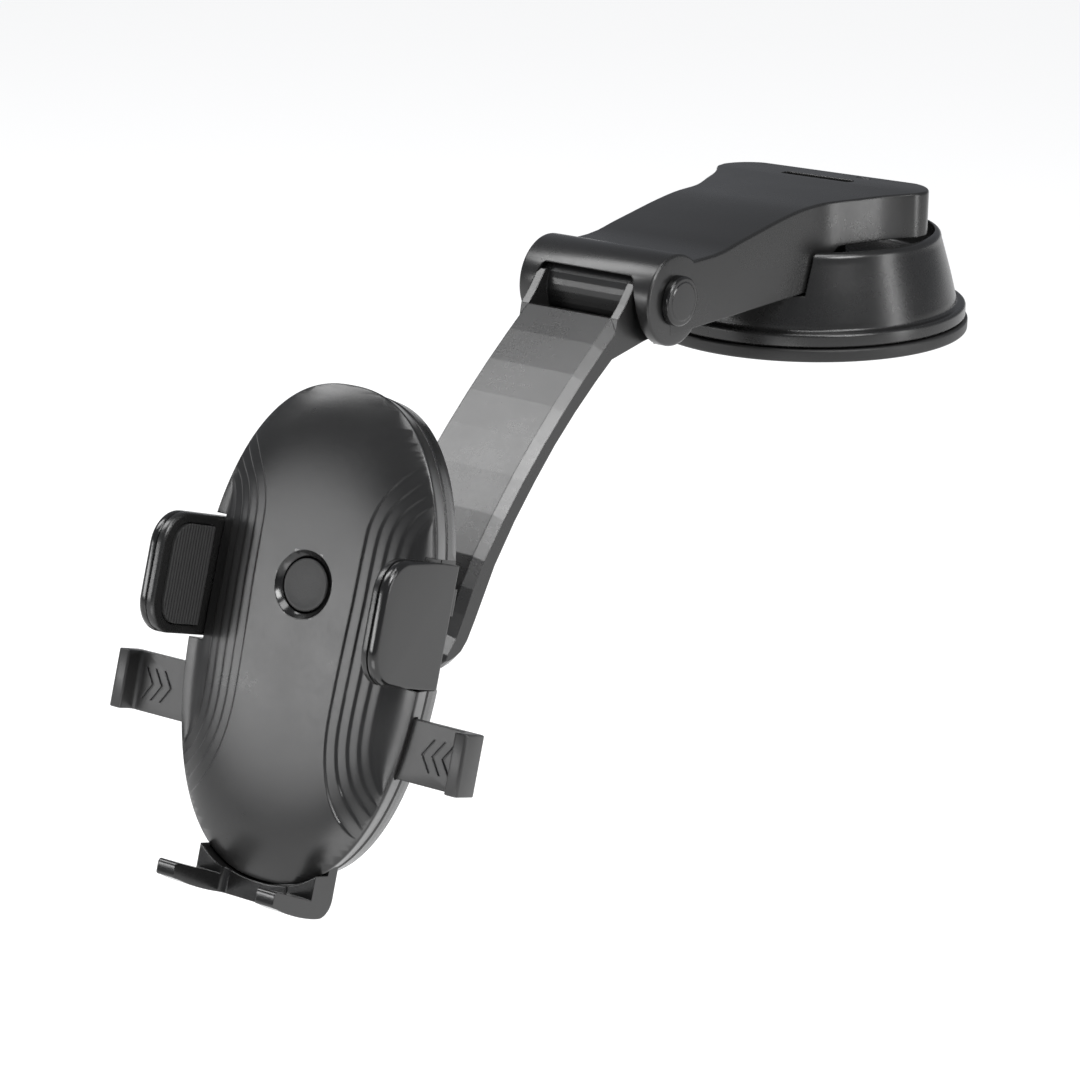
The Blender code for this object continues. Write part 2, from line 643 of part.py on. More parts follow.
    # The nut on the other side lies sunk in the ear, flush with the arm
    seat = ARM_HALF - NUT_RECESS + GAP
    face = ARM_HALF - 0.1
    profile = [(0, -BARREL_HALF + 3.7), (BOLT_RADIUS, -BARREL_HALF + 3.7), (BOLT_RADIUS, -seat)]
    profile += [(CAP_RADIUS, -seat), (CAP_RADIUS, -face + 0.4), (CAP_RADIUS - 0.4, -face), (0, -face)]
    nut = turned(profile, 32, (0, FOLD_Y, FOLD_Z), "X")
    smooth(place("fold_nut", nut, frame, plastic))


# ---------------------------------------------------------------------------------- lower arm


def lower_front():
    """The front line of the lower arm's side view, from the hinge down to the ball end."""
    points = [(-93.0, 20.4), (-99.3, 15.9), (-106.2, 10.7), (-113.0, 5.2), (-119.7, -0.6)]
    points += [(-126.4, -6.9), (-133.0, -13.8), (-139.4, -21.2), (-143.2, -26.6), (-146.0, -31.5)]
    return points


def lower_back():
    points = [(-147.4, -42.6), (-144.6, -41.6), (-142.2, -39.4), (-139.6, -35.6), (-136.3, -30.4)]
    points += [(-133.0, -25.2), (-126.6, -17.4), (-119.9, -10.4), (-113.2, -4.0), (-106.4, 1.6)]
    points += [(-99.5, 6.7), (-92.5, 11.4), (-88.9, 13.1), (-85.0, 13.6)]
    return points


def lower_arm_pieces(frame, plastic, dark):
    end = [(-148.6, -35.6), (-151.4, -38.6), (-152.6, -40.8), (-151.6, -42.4), (-149.6, -42.9)]
    side = [(-84.0, 18.0)] + lower_front() + end + lower_back()
    beam = place("lower_arm", prism(side, "X", -LOWER_HALF, LOWER_HALF), frame, plastic)
    soften(beam, LOWER_CHAMFER, 1, 80)
    hub = rod(HUB_RADIUS, -LOWER_HALF, LOWER_HALF, 40, (0, FOLD_Y, FOLD_Z), "X")
    join(beam, hub, frame)
    # Cheeks close the hub's sides and rise from the front face to the window's lip
    cheek = arc((FOLD_Y, FOLD_Z), HUB_RADIUS + 0.4, -60, 150, 9)
    cheek += [(-87.0, 27.0), (-90.4, 22.9), (-93.0, 20.4), (-95.0, 12.0), (-84.0, 13.8)]
    for side_sign in (-1, 1):
        a, b = side_sign * (LOWER_HALF - CHEEK), side_sign * LOWER_HALF
        join(beam, prism(cheek, "X", min(a, b), max(a, b)), frame)
    cut(beam, rod(BOLT_RADIUS + GAP, -25, 25, 20, (0, FOLD_Y, FOLD_Z), "X"), frame)
    washer_depth = WASHER_THICKNESS + GAP
    for side_sign in (-1, 1):
        a, b = side_sign * (LOWER_HALF - washer_depth), side_sign * (LOWER_HALF + 2)
        recess = rod(6.0 + GAP, min(a, b), max(a, b), 24, (0, FOLD_Y, FOLD_Z), "X")
        cut(beam, recess, frame)
    # A shallow bay in the back takes the cover plate
    bay = [(y + 1.5 * BAY_NORMAL[0], z + 1.5 * BAY_NORMAL[1]) for y, z in BAY_LINE]
    bay_deep = [(y - BAY_DEPTH * BAY_NORMAL[0], z - BAY_DEPTH * BAY_NORMAL[1]) for y, z in BAY_LINE]
    cut(beam, prism(bay + bay_deep[::-1], "X", -BAY_HALF, BAY_HALF), frame)
    stud = Vector((0, BALL_Y, BALL_Z))
    away = stud_direction()
    cut(beam, along(rod(NECK_RADIUS + GAP, 4.0, 22.0, 20), stud, -away), frame)
    smooth(beam)

    cover_half = BAY_HALF - GAP
    outer = [(y - 0.1 * BAY_NORMAL[0], z - 0.1 * BAY_NORMAL[1]) for y, z in BAY_COVER_LINE]
    deep = BAY_DEPTH - GAP
    inner = [(y - deep * BAY_NORMAL[0], z - deep * BAY_NORMAL[1]) for y, z in BAY_COVER_LINE]
    cover = prism(outer + inner[::-1], "X", -cover_half, cover_half)
    cover = place("lower_arm_back_cover", cover, frame, dark)
    inward = Vector((0, -BAY_NORMAL[0], -BAY_NORMAL[1]))
    for number, (y, z) in enumerate(BAY_SCREWS, 1):
        at = Vector((0, y, z)) + inward * 0.15
        cut(cover, screw_hole(at, inward, 4.2), frame)
        cut(beam, screw_hole(at, inward, 4.2), frame)
        screw(f"lower_cover_screw_{number}", frame, steel, at, inward, 4)
    smooth(cover)

    for side_sign, name in ((-1, "left"), (1, "right")):
        a = side_sign * (LOWER_HALF - WASHER_THICKNESS)
        b = side_sign * (LOWER_HALF + 0.1)
        c = min(a, b), max(a, b)
        profile = [(BOLT_RADIUS + GAP, c[0]), (6.0, c[0]), (6.0, c[1]), (BOLT_RADIUS + GAP, c[1])]
        washer = turned(profile, 24, (0, FOLD_Y, FOLD_Z), "X")
        smooth(place(f"fold_washer_{name}", washer, frame, steel))

    # The ball stud: a ball on a neck that is pressed into the arm's end and held by a screw
    neck_start = sqrt(BALL_RADIUS**2 - NECK_RADIUS**2)
    profile = [(0, -BALL_RADIUS)]
    profile += [(r, -z) for z, r in arc((0, 0), BALL_RADIUS, 12, 150, 9) if z > -neck_start]
    profile += [(NECK_RADIUS, neck_start), (NECK_RADIUS, STUD_LENGTH), (0, STUD_LENGTH)]
    ball = place("ball_stud", along(turned(profile, 24), stud, -away), frame, dark)
    smooth(ball)


def along(bm, at, direction):
    """Turns a bmesh drawn up the Z axis to run along a direction from a point."""
    turn = Vector((0, 0, 1)).rotation_difference(Vector(direction)).to_matrix()
    bmesh.ops.rotate(bm, verts=bm.verts, matrix=turn)
    bmesh.ops.translate(bm, verts=bm.verts, vec=at)
    return bm


# ---------------------------------------------------------------------------------- cradle


def cradle_axes():
    """The cradle's across, up and out directions: tilted back, turned to +X, rolled anticlockwise."""
    tilt, turn, roll = radians(CRADLE_TILT), radians(CRADLE_TURN), radians(CRADLE_ROLL)
    across = Vector((1, 0, 0))
    up = Vector((0, sin(tilt), cos(tilt)))
    out = Vector((0, -cos(tilt), sin(tilt)))
    turned_across = across * cos(turn) - out * sin(turn)
    out = out * cos(turn) + across * sin(turn)
    across = turned_across * cos(roll) + up * sin(roll)
    up = up * cos(roll) - turned_across * sin(roll)
    return across, up, out


def stud_direction():
    """From the arm's end to the cradle, along the resting cradle's own axis."""
    return cradle_axes()[2]


def cradle_half(z):
    """The outline's half width at a depth behind the face: the side wall tapers to the back."""
    share = z / CRADLE_BACK
    return CRADLE_HALF_WIDTH - CRADLE_TAPER * share, CRADLE_HALF_HEIGHT - 0.5 * CRADLE_TAPER * share


def cradle_ring(z, inset=0.0):
    half_width, half_height = cradle_half(min(0.0, z))
    return oval(half_width - inset, half_height - inset), z


def jaw_notches(target, frame):
    """Recesses in both sides of the covers where the closed jaws stand."""
    x = JAW_OUTER - JAW_THICKNESS - PAD_THICKNESS + 0.3
    for side in (-1, 1):
        low = (min(side * x, side * 40), JAW_BOTTOM - 0.6, CRADLE_BACK - 3)
        high = (max(side * x, side * 40), JAW_TOP + 0.6, FACE_RISE + 5)
        cut(target, box(low, high), frame)


def front_cover_piece(frame, plastic):
    rise = FACE_RISE
    w = COVER_WALL
    outer = [cradle_ring(COVER_SPLIT + GAP), cradle_ring(-0.4), (oval(28.2, 49.7), 0.1)]
    outer += [(oval(25.6, 47.2), rise * 0.46), (oval(21.5, 43.5), rise * 0.78)]
    outer += [(oval(15.0, 38.0), rise * 0.97), (oval(9.0, 31.0), rise)]
    inner = [(oval(9.0, 30.0), rise - w), (oval(19.0, 41.5), rise * 0.78 - w)]
    inner += [(oval(25.4, 46.8), -1.0), cradle_ring(COVER_SPLIT + GAP, w)]
    cover = place("front_cover", lofted(outer), frame, plastic)
    cavity = [(oval(*[h - w for h in cradle_half(COVER_SPLIT)]), COVER_SPLIT - 2)] + inner[::-1]
    cut(cover, lofted(cavity), frame)
    jaw_notches(cover, frame)
    side_pockets(cover, frame)
    # The round well of the trigger button, with a chamfered mouth and a ledge for its spring
    ring, hole = BUTTON_RING_RADIUS, BUTTON_RADIUS + 0.35
    stem_hole = BUTTON_STEM_RADIUS + GAP
    join(cover, rod(hole + 1.6, BUTTON_LEDGE - 1.2, rise - 1.0, 28, (0, BUTTON_Y, 0)), frame)
    profile = [(0, -9), (stem_hole, -9), (stem_hole, BUTTON_LEDGE), (hole, BUTTON_LEDGE)]
    profile += [(hole, rise - 0.9), (ring, rise + 0.15), (ring, rise + 3), (0, rise + 3)]
    cut(cover, turned(profile, 28, (0, BUTTON_Y, 0)), frame)
    openings(cover, frame)
    smooth(cover)
    return cover


def side_pockets(target, frame):
    """Low ledges beside the jaws, so that a phone's edge and the pads have room over the cover."""
    for side in (-1, 1):
        low = (min(side * POCKET_INNER, side * 40), POCKET_LOW, POCKET_FLOOR)
        high = (max(side * POCKET_INNER, side * 40), POCKET_HIGH, FACE_RISE + 5)
        cut(target, box(low, high), frame)


def openings(target, frame):
    """Side slots for the tabs and a bottom slot for the foot's stem."""
    for side in (-1, 1):
        low = (min(side * 15, side * 40), TAB_BOTTOM - GAP, TAB_FRONT - TAB_THICKNESS - GAP)
        high = (max(side * 15, side * 40), TAB_TOP + GAP, TAB_FRONT + GAP)
        cut(target, box(low, high), frame)
    low = (-FOOT_HALF - GAP, -60, STEM_PLATE_FRONT - STEM_PLATE_THICKNESS - GAP)
    high = (FOOT_HALF + GAP, STEM_PLATE_TOP + 1, STEM_PLATE_FRONT + GAP)
    cut(target, box(low, high), frame)


def rear_cover_piece(frame, plastic):
    w = COVER_WALL
    back = CRADLE_BACK
    outer = [cradle_ring(back, 1.2), cradle_ring(back + 1.0), cradle_ring(COVER_SPLIT)]
    cover = place("rear_cover", lofted(outer), frame, plastic)
    cavity = [cradle_ring(back + w, w + 0.6), cradle_ring(COVER_SPLIT, w), cradle_ring(COVER_SPLIT + 3, w)]
    cut(cover, lofted(cavity), frame)
    # The socket behind the cover, bored for the ball's liner
    bore = BALL_RADIUS + GAP + LINER_THICKNESS + GAP
    sphere = -BALL_TO_FACE
    boss = rod(BOSS_RADIUS, sphere + 1.2, back + 1.0, 32)
    join(cover, boss, frame)
    pole = [(r, sphere + z) for z, r in arc((0, 0), bore, 0, 84, 6)]
    profile = [(0, sphere - 4), (bore, sphere - 4), (bore, sphere)] + pole[::-1]
    profile[-1] = (0, sphere + bore)
    cut(cover, turned(profile, 24), frame)
    jaw_notches(cover, frame)
    # Through the notch walls the jaws' toes and bars run out sideways
    for side in (-1, 1):
        bar_low = BAR_A_LOW if side > 0 else BAR_B_LOW
        low = (min(side * 15, side * 40), bar_low - GAP, BAR_FRONT - BAR_THICKNESS - GAP)
        high = (max(side * 15, side * 40), bar_low + BAR_HEIGHT + GAP, FACE_RISE)
        cut(cover, box(low, high), frame)
    for number, (x, y) in enumerate(CRADLE_SCREWS, 1):
        post = rod(2.4, back + 1, COVER_SPLIT - 0.4, 12, (x, y, 0))
        join(cover, post, frame)
        at = (x, y, back + 0.1)
        cut(cover, screw_hole(at, (0, 0, 1), 8), frame)
        screw(f"cradle_screw_{number}", frame, steel, at, (0, 0, 1), 6)
    pivot = rod(PIVOT_RADIUS, back + 1, BAR_FRONT + 1.0, 12, (0, PINION_Y, 0))
    join(cover, pivot, frame)
    smooth(cover)
    return cover


def tooth(x, y, direction, width):
    """A rack tooth: a trapezoid that stands out of the bar towards the pinion."""
    base, tip = width * 0.5, width * 0.26
    tall = 2 * TOOTH_HEIGHT - 0.35
    root = y - direction * 0.4
    top = y + direction * tall
    return [(x - base, root), (x - tip, top), (x + tip, top), (x + base, root)]


def toe_screw_at(bar_low, side):
    return (side * TOE_SCREW_X, bar_low + BAR_HEIGHT / 2, BAR_FRONT - BAR_THICKNESS + 0.1)


def slider_piece(name, frame, plastic, bar_low, side):
    """A slider drawn as the one that carries the jaw on +X and the tab on -X."""
    back = BAR_FRONT - BAR_THICKNESS
    right = JAW_OUTER - JAW_THICKNESS - 0.5
    bar = box((-STRIP_OUTER, bar_low, back), (right, bar_low + BAR_HEIGHT, BAR_FRONT))
    strip_back = TAB_FRONT - TAB_THICKNESS - 1.4
    bar_high = bar_low + BAR_HEIGHT
    strip_low = (-STRIP_OUTER, TAB_BOTTOM, strip_back)
    strip = box(strip_low, (-STRIP_INNER, bar_high, TAB_FRONT - 0.6))
    riser_low = (-STRIP_OUTER, bar_low, back + 0.5)
    riser = box(riser_low, (-STRIP_INNER, bar_high, TAB_FRONT - 1.2))
    tab_back = TAB_FRONT - TAB_THICKNESS
    tab = [(-TAB_LIP_OUTER, tab_back), (-STRIP_INNER - 0.5, tab_back), (-STRIP_INNER - 0.5, TAB_FRONT)]
    tab += [(-TAB_LIP_INNER, TAB_FRONT), (-TAB_LIP_INNER - 0.3, TAB_FRONT + TAB_LIP_HEIGHT)]
    lip_front = TAB_FRONT + TAB_LIP_HEIGHT
    tab += [(-TAB_LIP_OUTER + 0.6, lip_front), (-TAB_LIP_OUTER, lip_front - 0.6)]
    pieces = [bar, strip, riser, prism(tab, "Y", TAB_BOTTOM, TAB_TOP)]
    inward = -1 if bar_low > PINION_Y else 1
    edge = bar_low if inward < 0 else bar_low + BAR_HEIGHT
    pitch = 2 * pi * PINION_PITCH_RADIUS / PINION_TEETH
    for i in range(-1, 7):
        outline = tooth(-i * pitch, edge, inward, pitch * 0.62)
        pieces.append(prism(outline, "Z", back + 0.3, BAR_FRONT - 0.3))
    if side < 0:
        pieces = [mirrored(bm) for bm in pieces]
    slider = place(name, pieces[0], frame, plastic)
    for bm in pieces[1:]:
        join(slider, bm, frame)
    cut(slider, screw_hole(toe_screw_at(bar_low, side), (0, 0, 1), 4.6), frame)
    smooth(slider)


def jaw_pieces(name, frame, plastic, rubber, bar_low, side):
    """The jaw on +X: an outer shell whose toe is screwed to the bar, a liner and a ribbed pad."""
    outline = rounded_rectangle(
        (JAW_BOTTOM, JAW_REAR), (JAW_TOP, JAW_REACH), (0, 0, JAW_CORNER, JAW_CORNER), 7
    )
    shell_inner = JAW_OUTER - 2.0
    shell = prism(outline, "X", shell_inner, JAW_OUTER)
    toe_low = (TOE_SCREW_X - 3, bar_low + 0.1, BAR_FRONT + GAP)
    toe = box(toe_low, (JAW_OUTER - 0.3, bar_low + BAR_HEIGHT - 0.1, TOE_FRONT))
    liner_inner = JAW_OUTER - JAW_THICKNESS
    liner_outline = rounded_rectangle(
        (JAW_BOTTOM, JAW_REAR + 1.2), (JAW_TOP, JAW_REACH), (0, 0, JAW_CORNER, JAW_CORNER), 7
    )
    liner = prism(liner_outline, "X", liner_inner, shell_inner - 0.25)
    b = PAD_BORDER
    corner = JAW_CORNER - b
    pad_outline = rounded_rectangle(
        (JAW_BOTTOM + b, 2.2), (JAW_TOP - b, JAW_REACH - b - 0.8), (0.8, 0.8, corner, corner), 7
    )
    pad = prism(pad_outline, "X", liner_inner - PAD_THICKNESS * 0.45, liner_inner + PAD_THICKNESS * 0.55)
    room = rounded_rectangle(
        (JAW_BOTTOM + b - 0.2, 2.0), (JAW_TOP - b + 0.2, JAW_REACH - b - 0.6), (0.8, 0.8, corner, corner), 7
    )
    pocket = prism(room, "X", liner_inner - 2, liner_inner + PAD_THICKNESS * 0.55 + 0.25)
    made = [shell, toe, liner, pad, pocket]
    if side < 0:
        made = [mirrored(bm) for bm in made]
    shell, toe, liner, pad, pocket = made
    shell = place(f"jaw_{name}_shell", shell, frame, plastic)
    join(shell, toe, frame)
    at = toe_screw_at(bar_low, side)
    cut(shell, screw_hole(at, (0, 0, 1), 4.6), frame)
    smooth(shell)
    liner = place(f"jaw_{name}_liner", liner, frame, plastic)
    cut(liner, pocket, frame)
    slot_low, slot_high = bar_low - 0.2, bar_low + BAR_HEIGHT + 0.2
    x0, x1 = sorted((side * 20, side * 40))
    cut(liner, box((x0, slot_low, JAW_REAR - 2), (x1, slot_high, TOE_FRONT + 0.4)), frame)
    smooth(liner)
    smooth(place(f"jaw_{name}_pad", pad, frame, rubber))
    screw(f"jaw_{name}_screw", frame, steel, at, (0, 0, 1), 4)


def jaw_spring(name, frame, y, side):
    """A pull spring along X in the cradle, which draws a slider shut."""
    spring = coil(1.3, 0.3, -9.0, 9.0, 6, "X", (side * 6.0, y, -8.2), 4, 7)
    smooth(place(name, spring, frame, steel), 60)


def pinion_piece(frame, plastic):
    teeth = PINION_TEETH
    high = PINION_PITCH_RADIUS + TOOTH_HEIGHT - 0.35
    low = PINION_PITCH_RADIUS - TOOTH_HEIGHT + 0.1
    points = []
    for i in range(teeth):
        start = 2 * pi * i / teeth
        for share, radius in ((-0.17, high), (0.17, high), (0.30, low), (0.70, low)):
            a = start + 2 * pi * share / teeth
            points.append((radius * cos(a), PINION_Y + radius * sin(a)))
    bm = prism(points, "Z", BAR_FRONT - BAR_THICKNESS + 0.2, BAR_FRONT - 0.2)
    pinion = place("pinion", bm, frame, plastic)
    cut(pinion, rod(PIVOT_RADIUS + GAP, -20, 5, 16, (0, PINION_Y, 0)), frame)
    smooth(pinion)


def pinion_clip_piece(frame):
    """A push-on ring on the pivot's end that keeps the pinion down."""
    low = BAR_FRONT + 0.1
    inner = PIVOT_RADIUS + 0.15
    profile = [(inner, low), (inner + 1.3, low), (inner + 1.3, low + 0.5), (inner, low + 0.5)]
    smooth(place("pinion_clip", turned(profile, 16, (0, PINION_Y, 0)), frame, steel))


def button_pieces(frame, plastic):
    r, stem = BUTTON_RADIUS, BUTTON_STEM_RADIUS
    face = FACE_RISE - 0.7
    under = face - 2.6
    end = BUTTON_LEDGE - 1.2 - GAP - 0.7
    profile = [(0, end), (stem, end), (stem, under), (r, under), (r, face - 0.3)]
    profile += [(r - 0.3, face), (0, face)]
    button = turned(profile, 28, (0, BUTTON_Y, 0))
    smooth(place("trigger_button", button, frame, plastic))
    spring = coil(stem + 1.1, 0.25, BUTTON_LEDGE + 0.3, under - 0.3, 2, "Z", (0, BUTTON_Y, 0), 4, 9)
    smooth(place("button_spring", spring, frame, steel), 60)
    top = BUTTON_LEDGE - 1.2 - GAP
    inner, outer = stem + 0.15, stem + 1.4
    profile = [(inner, top - 0.4), (outer, top - 0.4), (outer, top), (inner, top)]
    smooth(place("button_clip", turned(profile, 20, (0, BUTTON_Y, 0)), frame, steel))


def foot_pieces(frame, plastic):
    front = STEM_PLATE_FRONT
    back = front - STEM_PLATE_THICKNESS
    stem = rounded_rectangle((-FOOT_HALF, FOOT_HEEL), (FOOT_HALF, STEM_PLATE_TOP), (1, 1, 2, 2), 3)
    foot = place("foot", prism(stem, "Z", back, front), frame, plastic)
    t = FOOT_THICKNESS
    toe = FOOT_HEEL + FOOT_RISE
    side = arc((FOOT_HEEL + HEEL_BEND, back + HEEL_BEND), HEEL_BEND, 270, 180, 5)
    side += [(toe, FOOT_REACH - 0.8), (toe + 0.8, FOOT_REACH)]
    side += [(toe + t - 0.5, FOOT_REACH), (toe + t, FOOT_REACH - 0.6), (FOOT_HEEL + t, front + 1.0)]
    side += [(FOOT_HEEL + t + 1.2, front), (FOOT_HEEL + t + 1.2, back)]
    join(foot, prism(side, "X", -FOOT_HALF, FOOT_HALF), frame)
    # The heel fills the room under the cover's round end
    heel = [(FOOT_HEEL + 1, back + 1), (HORN_TOP, back + 1)]
    heel += [(HORN_TOP, HORN_FRONT - HORN_LEAN), (FOOT_HEEL + 1, HORN_FRONT + HORN_LEAN)]
    horns = place("foot_horns", prism(heel, "X", -FOOT_HALF, FOOT_HALF), frame, None)
    horns.hide_render = True
    horns.display_type = "WIRE"
    clear = oval(CRADLE_HALF_WIDTH + 0.45, CRADLE_HALF_HEIGHT + 0.45)
    cut(horns, prism(clear, "Z", -20, 20), frame)
    heel_join = foot.modifiers.new("heel", "BOOLEAN")
    heel_join.operation = "UNION"
    heel_join.solver = "EXACT"
    heel_join.object = horns
    inner, outer = FOOT_NOTCH_HALF, FOOT_NOTCH_MOUTH
    deep = front + 3.0
    notch = [(-outer, FOOT_REACH + 5), (-outer, FOOT_REACH), (-inner, deep + 1.2), (-inner + 1.2, deep)]
    notch += [(-x, z) for x, z in reversed(notch)]
    cut(foot, prism(notch, "Y", FOOT_HEEL - 5, FOOT_HEEL + 15), frame)
    smooth(foot)


def ball_joint_pieces(tilt_frame, pan_frame, soft, plastic):
    centre = -BALL_TO_FACE
    inner = BALL_RADIUS + GAP
    outer = inner + LINER_THICKNESS
    cup = arc((0, 0), outer, 0, 94, 7)
    hollow = arc((0, 0), inner, 94, 0, 7)
    profile = [(r, centre + z) for z, r in cup + hollow]
    profile[0] = (0, centre + outer)
    profile[-1] = (0, centre + inner)
    liner = turned(profile, 24)
    smooth(place("ball_liner", liner, tilt_frame, soft))
    nut = NUT_RADIUS
    bore = BOSS_RADIUS + GAP
    throat = outer + GAP
    profile = [(bore, centre + 8.0), (nut - 0.6, centre + 8.0), (nut, centre + 7.4), (nut, centre - 1.0)]
    profile += [(8.7, centre - 5.4), (6.6, centre - 5.4), (7.0, centre - 4.6), (throat, centre - 2.6)]
    profile += [(throat, centre + 0.6), (bore, centre + 0.6)]
    ring = place("ring_nut", turned(profile, 40), pan_frame, plastic)
    smooth(ring)


# ---------------------------------------------------------------------------------- the object

clear_scene()

black = finish("black_plastic", (0.022, 0.022, 0.024), 0.32)
satin = finish("satin_cover", (0.05, 0.05, 0.052), 0.38)
inner_black = finish("inner_black", (0.016, 0.016, 0.017), 0.5)
soft_tpu = finish("soft_tpu", (0.02, 0.02, 0.021), 0.42)
gel_clear = finish("gel", (0.06, 0.06, 0.065), 0.25)
pad_rubber = finish("pad_rubber", (0.018, 0.018, 0.019), 0.75)
steel = finish("steel", (0.55, 0.55, 0.56), 0.28, 1.0)

base_frame = Frame("base_axis", (0, 0, 0))
stem_frame = Frame("stem_axis", (0, 0, LEVER_PIN_Z))
lever_frame = Frame("lever_axis", (0, LEVER_PIN_Y, LEVER_PIN_Z))
fold_frame = Frame("fold_axis", (0, FOLD_Y, FOLD_Z), lever_frame)

across, up, out = cradle_axes()
pose = Matrix((across, up, out)).transposed().to_4x4()
pose.translation = Vector((0, BALL_Y, BALL_Z)) * MM
ball_at = (0, 0, -BALL_TO_FACE)
ball_frame = Frame("ball_axis", ball_at, world=pose)
button_frame = Frame("button_axis", (0, BUTTON_Y, 0), ball_frame)
pinion_frame = Frame("pinion_axis", (0, PINION_Y, BAR_FRONT), ball_frame)
slide_right_frame = Frame("slide_right_axis", (0, BAR_A_LOW, BAR_FRONT), ball_frame)
slide_left_frame = Frame("slide_left_axis", (0, BAR_B_LOW, BAR_FRONT), ball_frame)
foot_frame = Frame("foot_axis", (0, FOOT_HEEL, STEM_PLATE_FRONT), ball_frame)

suction_pieces(base_frame, black, soft_tpu, gel_clear)
stem_pieces(stem_frame)
upper_arm_pieces(lever_frame, black, inner_black)
lower_arm_pieces(fold_frame, black, inner_black)
ball_joint_pieces(ball_frame, ball_frame, soft_tpu, black)
front_cover_piece(ball_frame, satin)
rear_cover_piece(ball_frame, black)
button_pieces(button_frame, inner_black)
pinion_piece(pinion_frame, inner_black)
pinion_clip_piece(ball_frame)
slider_piece("slider_right", slide_right_frame, black, BAR_A_LOW, 1)
slider_piece("slider_left", slide_left_frame, black, BAR_B_LOW, -1)
jaw_pieces("right", slide_right_frame, black, pad_rubber, BAR_A_LOW, 1)
jaw_pieces("left", slide_left_frame, black, pad_rubber, BAR_B_LOW, -1)
jaw_spring("jaw_spring_right", ball_frame, BAR_A_LOW + BAR_HEIGHT + 4.0, -1)
jaw_spring("jaw_spring_left", ball_frame, BAR_B_LOW - 4.0, 1)
foot_pieces(foot_frame, black)
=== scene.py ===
# %% [markdown]
# # A suction car phone mount
# The real thing is nearly all injection moulded in black plastic: a round suction base, a two-piece
# folding arm, and an oval cradle with two sprung jaws and a sliding foot on a ball joint. The frame
# holds its engineering shapes. This lesson rebuilds what shows with finer curves, rounded edges,
# terraces, ribs and mould texture, and lets every new piece ride on the body that it belongs to.

# %% Load the frame
import json
from math import atan2, cos, pi, radians, sin, sqrt

import bmesh
import bpy
from mathutils import Matrix, Vector


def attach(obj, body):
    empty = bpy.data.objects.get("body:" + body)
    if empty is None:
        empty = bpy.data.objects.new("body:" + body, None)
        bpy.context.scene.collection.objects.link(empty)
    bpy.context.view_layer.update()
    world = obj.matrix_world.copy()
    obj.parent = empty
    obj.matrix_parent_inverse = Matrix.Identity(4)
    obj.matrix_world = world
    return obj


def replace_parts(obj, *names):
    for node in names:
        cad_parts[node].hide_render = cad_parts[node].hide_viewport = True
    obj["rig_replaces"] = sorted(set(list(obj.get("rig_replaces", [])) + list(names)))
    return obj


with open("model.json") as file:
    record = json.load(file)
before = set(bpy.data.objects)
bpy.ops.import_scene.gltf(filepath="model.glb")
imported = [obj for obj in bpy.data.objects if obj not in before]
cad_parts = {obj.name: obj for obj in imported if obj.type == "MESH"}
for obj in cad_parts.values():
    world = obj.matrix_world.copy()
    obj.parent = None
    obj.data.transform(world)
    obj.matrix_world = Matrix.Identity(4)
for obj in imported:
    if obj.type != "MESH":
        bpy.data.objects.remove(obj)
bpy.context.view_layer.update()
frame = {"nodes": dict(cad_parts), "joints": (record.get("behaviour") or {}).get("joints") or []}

MM = 0.001

# %% [markdown]
# The cradle sits tilted on its ball. The three joints at the ball's centre carry its directions:
# the tilt axis runs across it, the pan axis up it and the roll axis out of its face. One matrix
# made of them lets each cradle piece be drawn flat, with its rim on z = 0, and then be stood in place.

# %% Where the cradle stands
joints = {joint["name"]: joint for joint in frame["joints"]}
BALL_BEHIND_RIM = 22.0
across, upward, outward = (Vector(joints[n]["axis"]) for n in ("ball_tilt", "ball_pan", "ball_roll"))
ball_centre = Vector(joints["ball_roll"]["pos_m"])
cradle = Matrix((across, upward, outward)).transposed().to_4x4()
cradle.translation = ball_centre + outward * BALL_BEHIND_RIM * MM
upright = Matrix.Identity(4)
print("cradle rim's centre:", [round(v / MM, 1) for v in cradle.translation], "mm")

# %% [markdown]
# ## Tools for making pieces
# A moulded piece is mostly an outline pushed into a solid, or a profile spun about an axis. Both
# start here from a few points, and the bmesh operators do the rest. Boolean steps then carve holes
# and join bosses. Drawing in millimetres keeps the numbers readable; the last step scales them.


# %% Solids from outlines and profiles
def slab(points, axis, low, high):
    """A flat outline extruded along X, Y or Z."""
    stand = {
        "X": lambda a, b, c: (c, a, b), "Y": lambda a, b, c: (a, c, b), "Z": lambda a, b, c: (a, b, c),
    }[axis]
    bm = bmesh.new()
    face = bm.faces.new([bm.verts.new(stand(a, b, low)) for a, b in points])
    moved = bmesh.ops.extrude_face_region(bm, geom=[face])["geom"]
    verts = [part for part in moved if isinstance(part, bmesh.types.BMVert)]
    bmesh.ops.translate(bm, verts=verts, vec=Vector(stand(0, 0, high - low)))
    bmesh.ops.recalc_face_normals(bm, faces=bm.faces)
    return bm


def block(low, high):
    bm = bmesh.new()
    bmesh.ops.create_cube(bm, size=1.0)
    size = Vector(high) - Vector(low)
    bmesh.ops.scale(bm, vec=size, verts=bm.verts)
    bmesh.ops.translate(bm, vec=Vector(low) + size / 2, verts=bm.verts)
    return bm


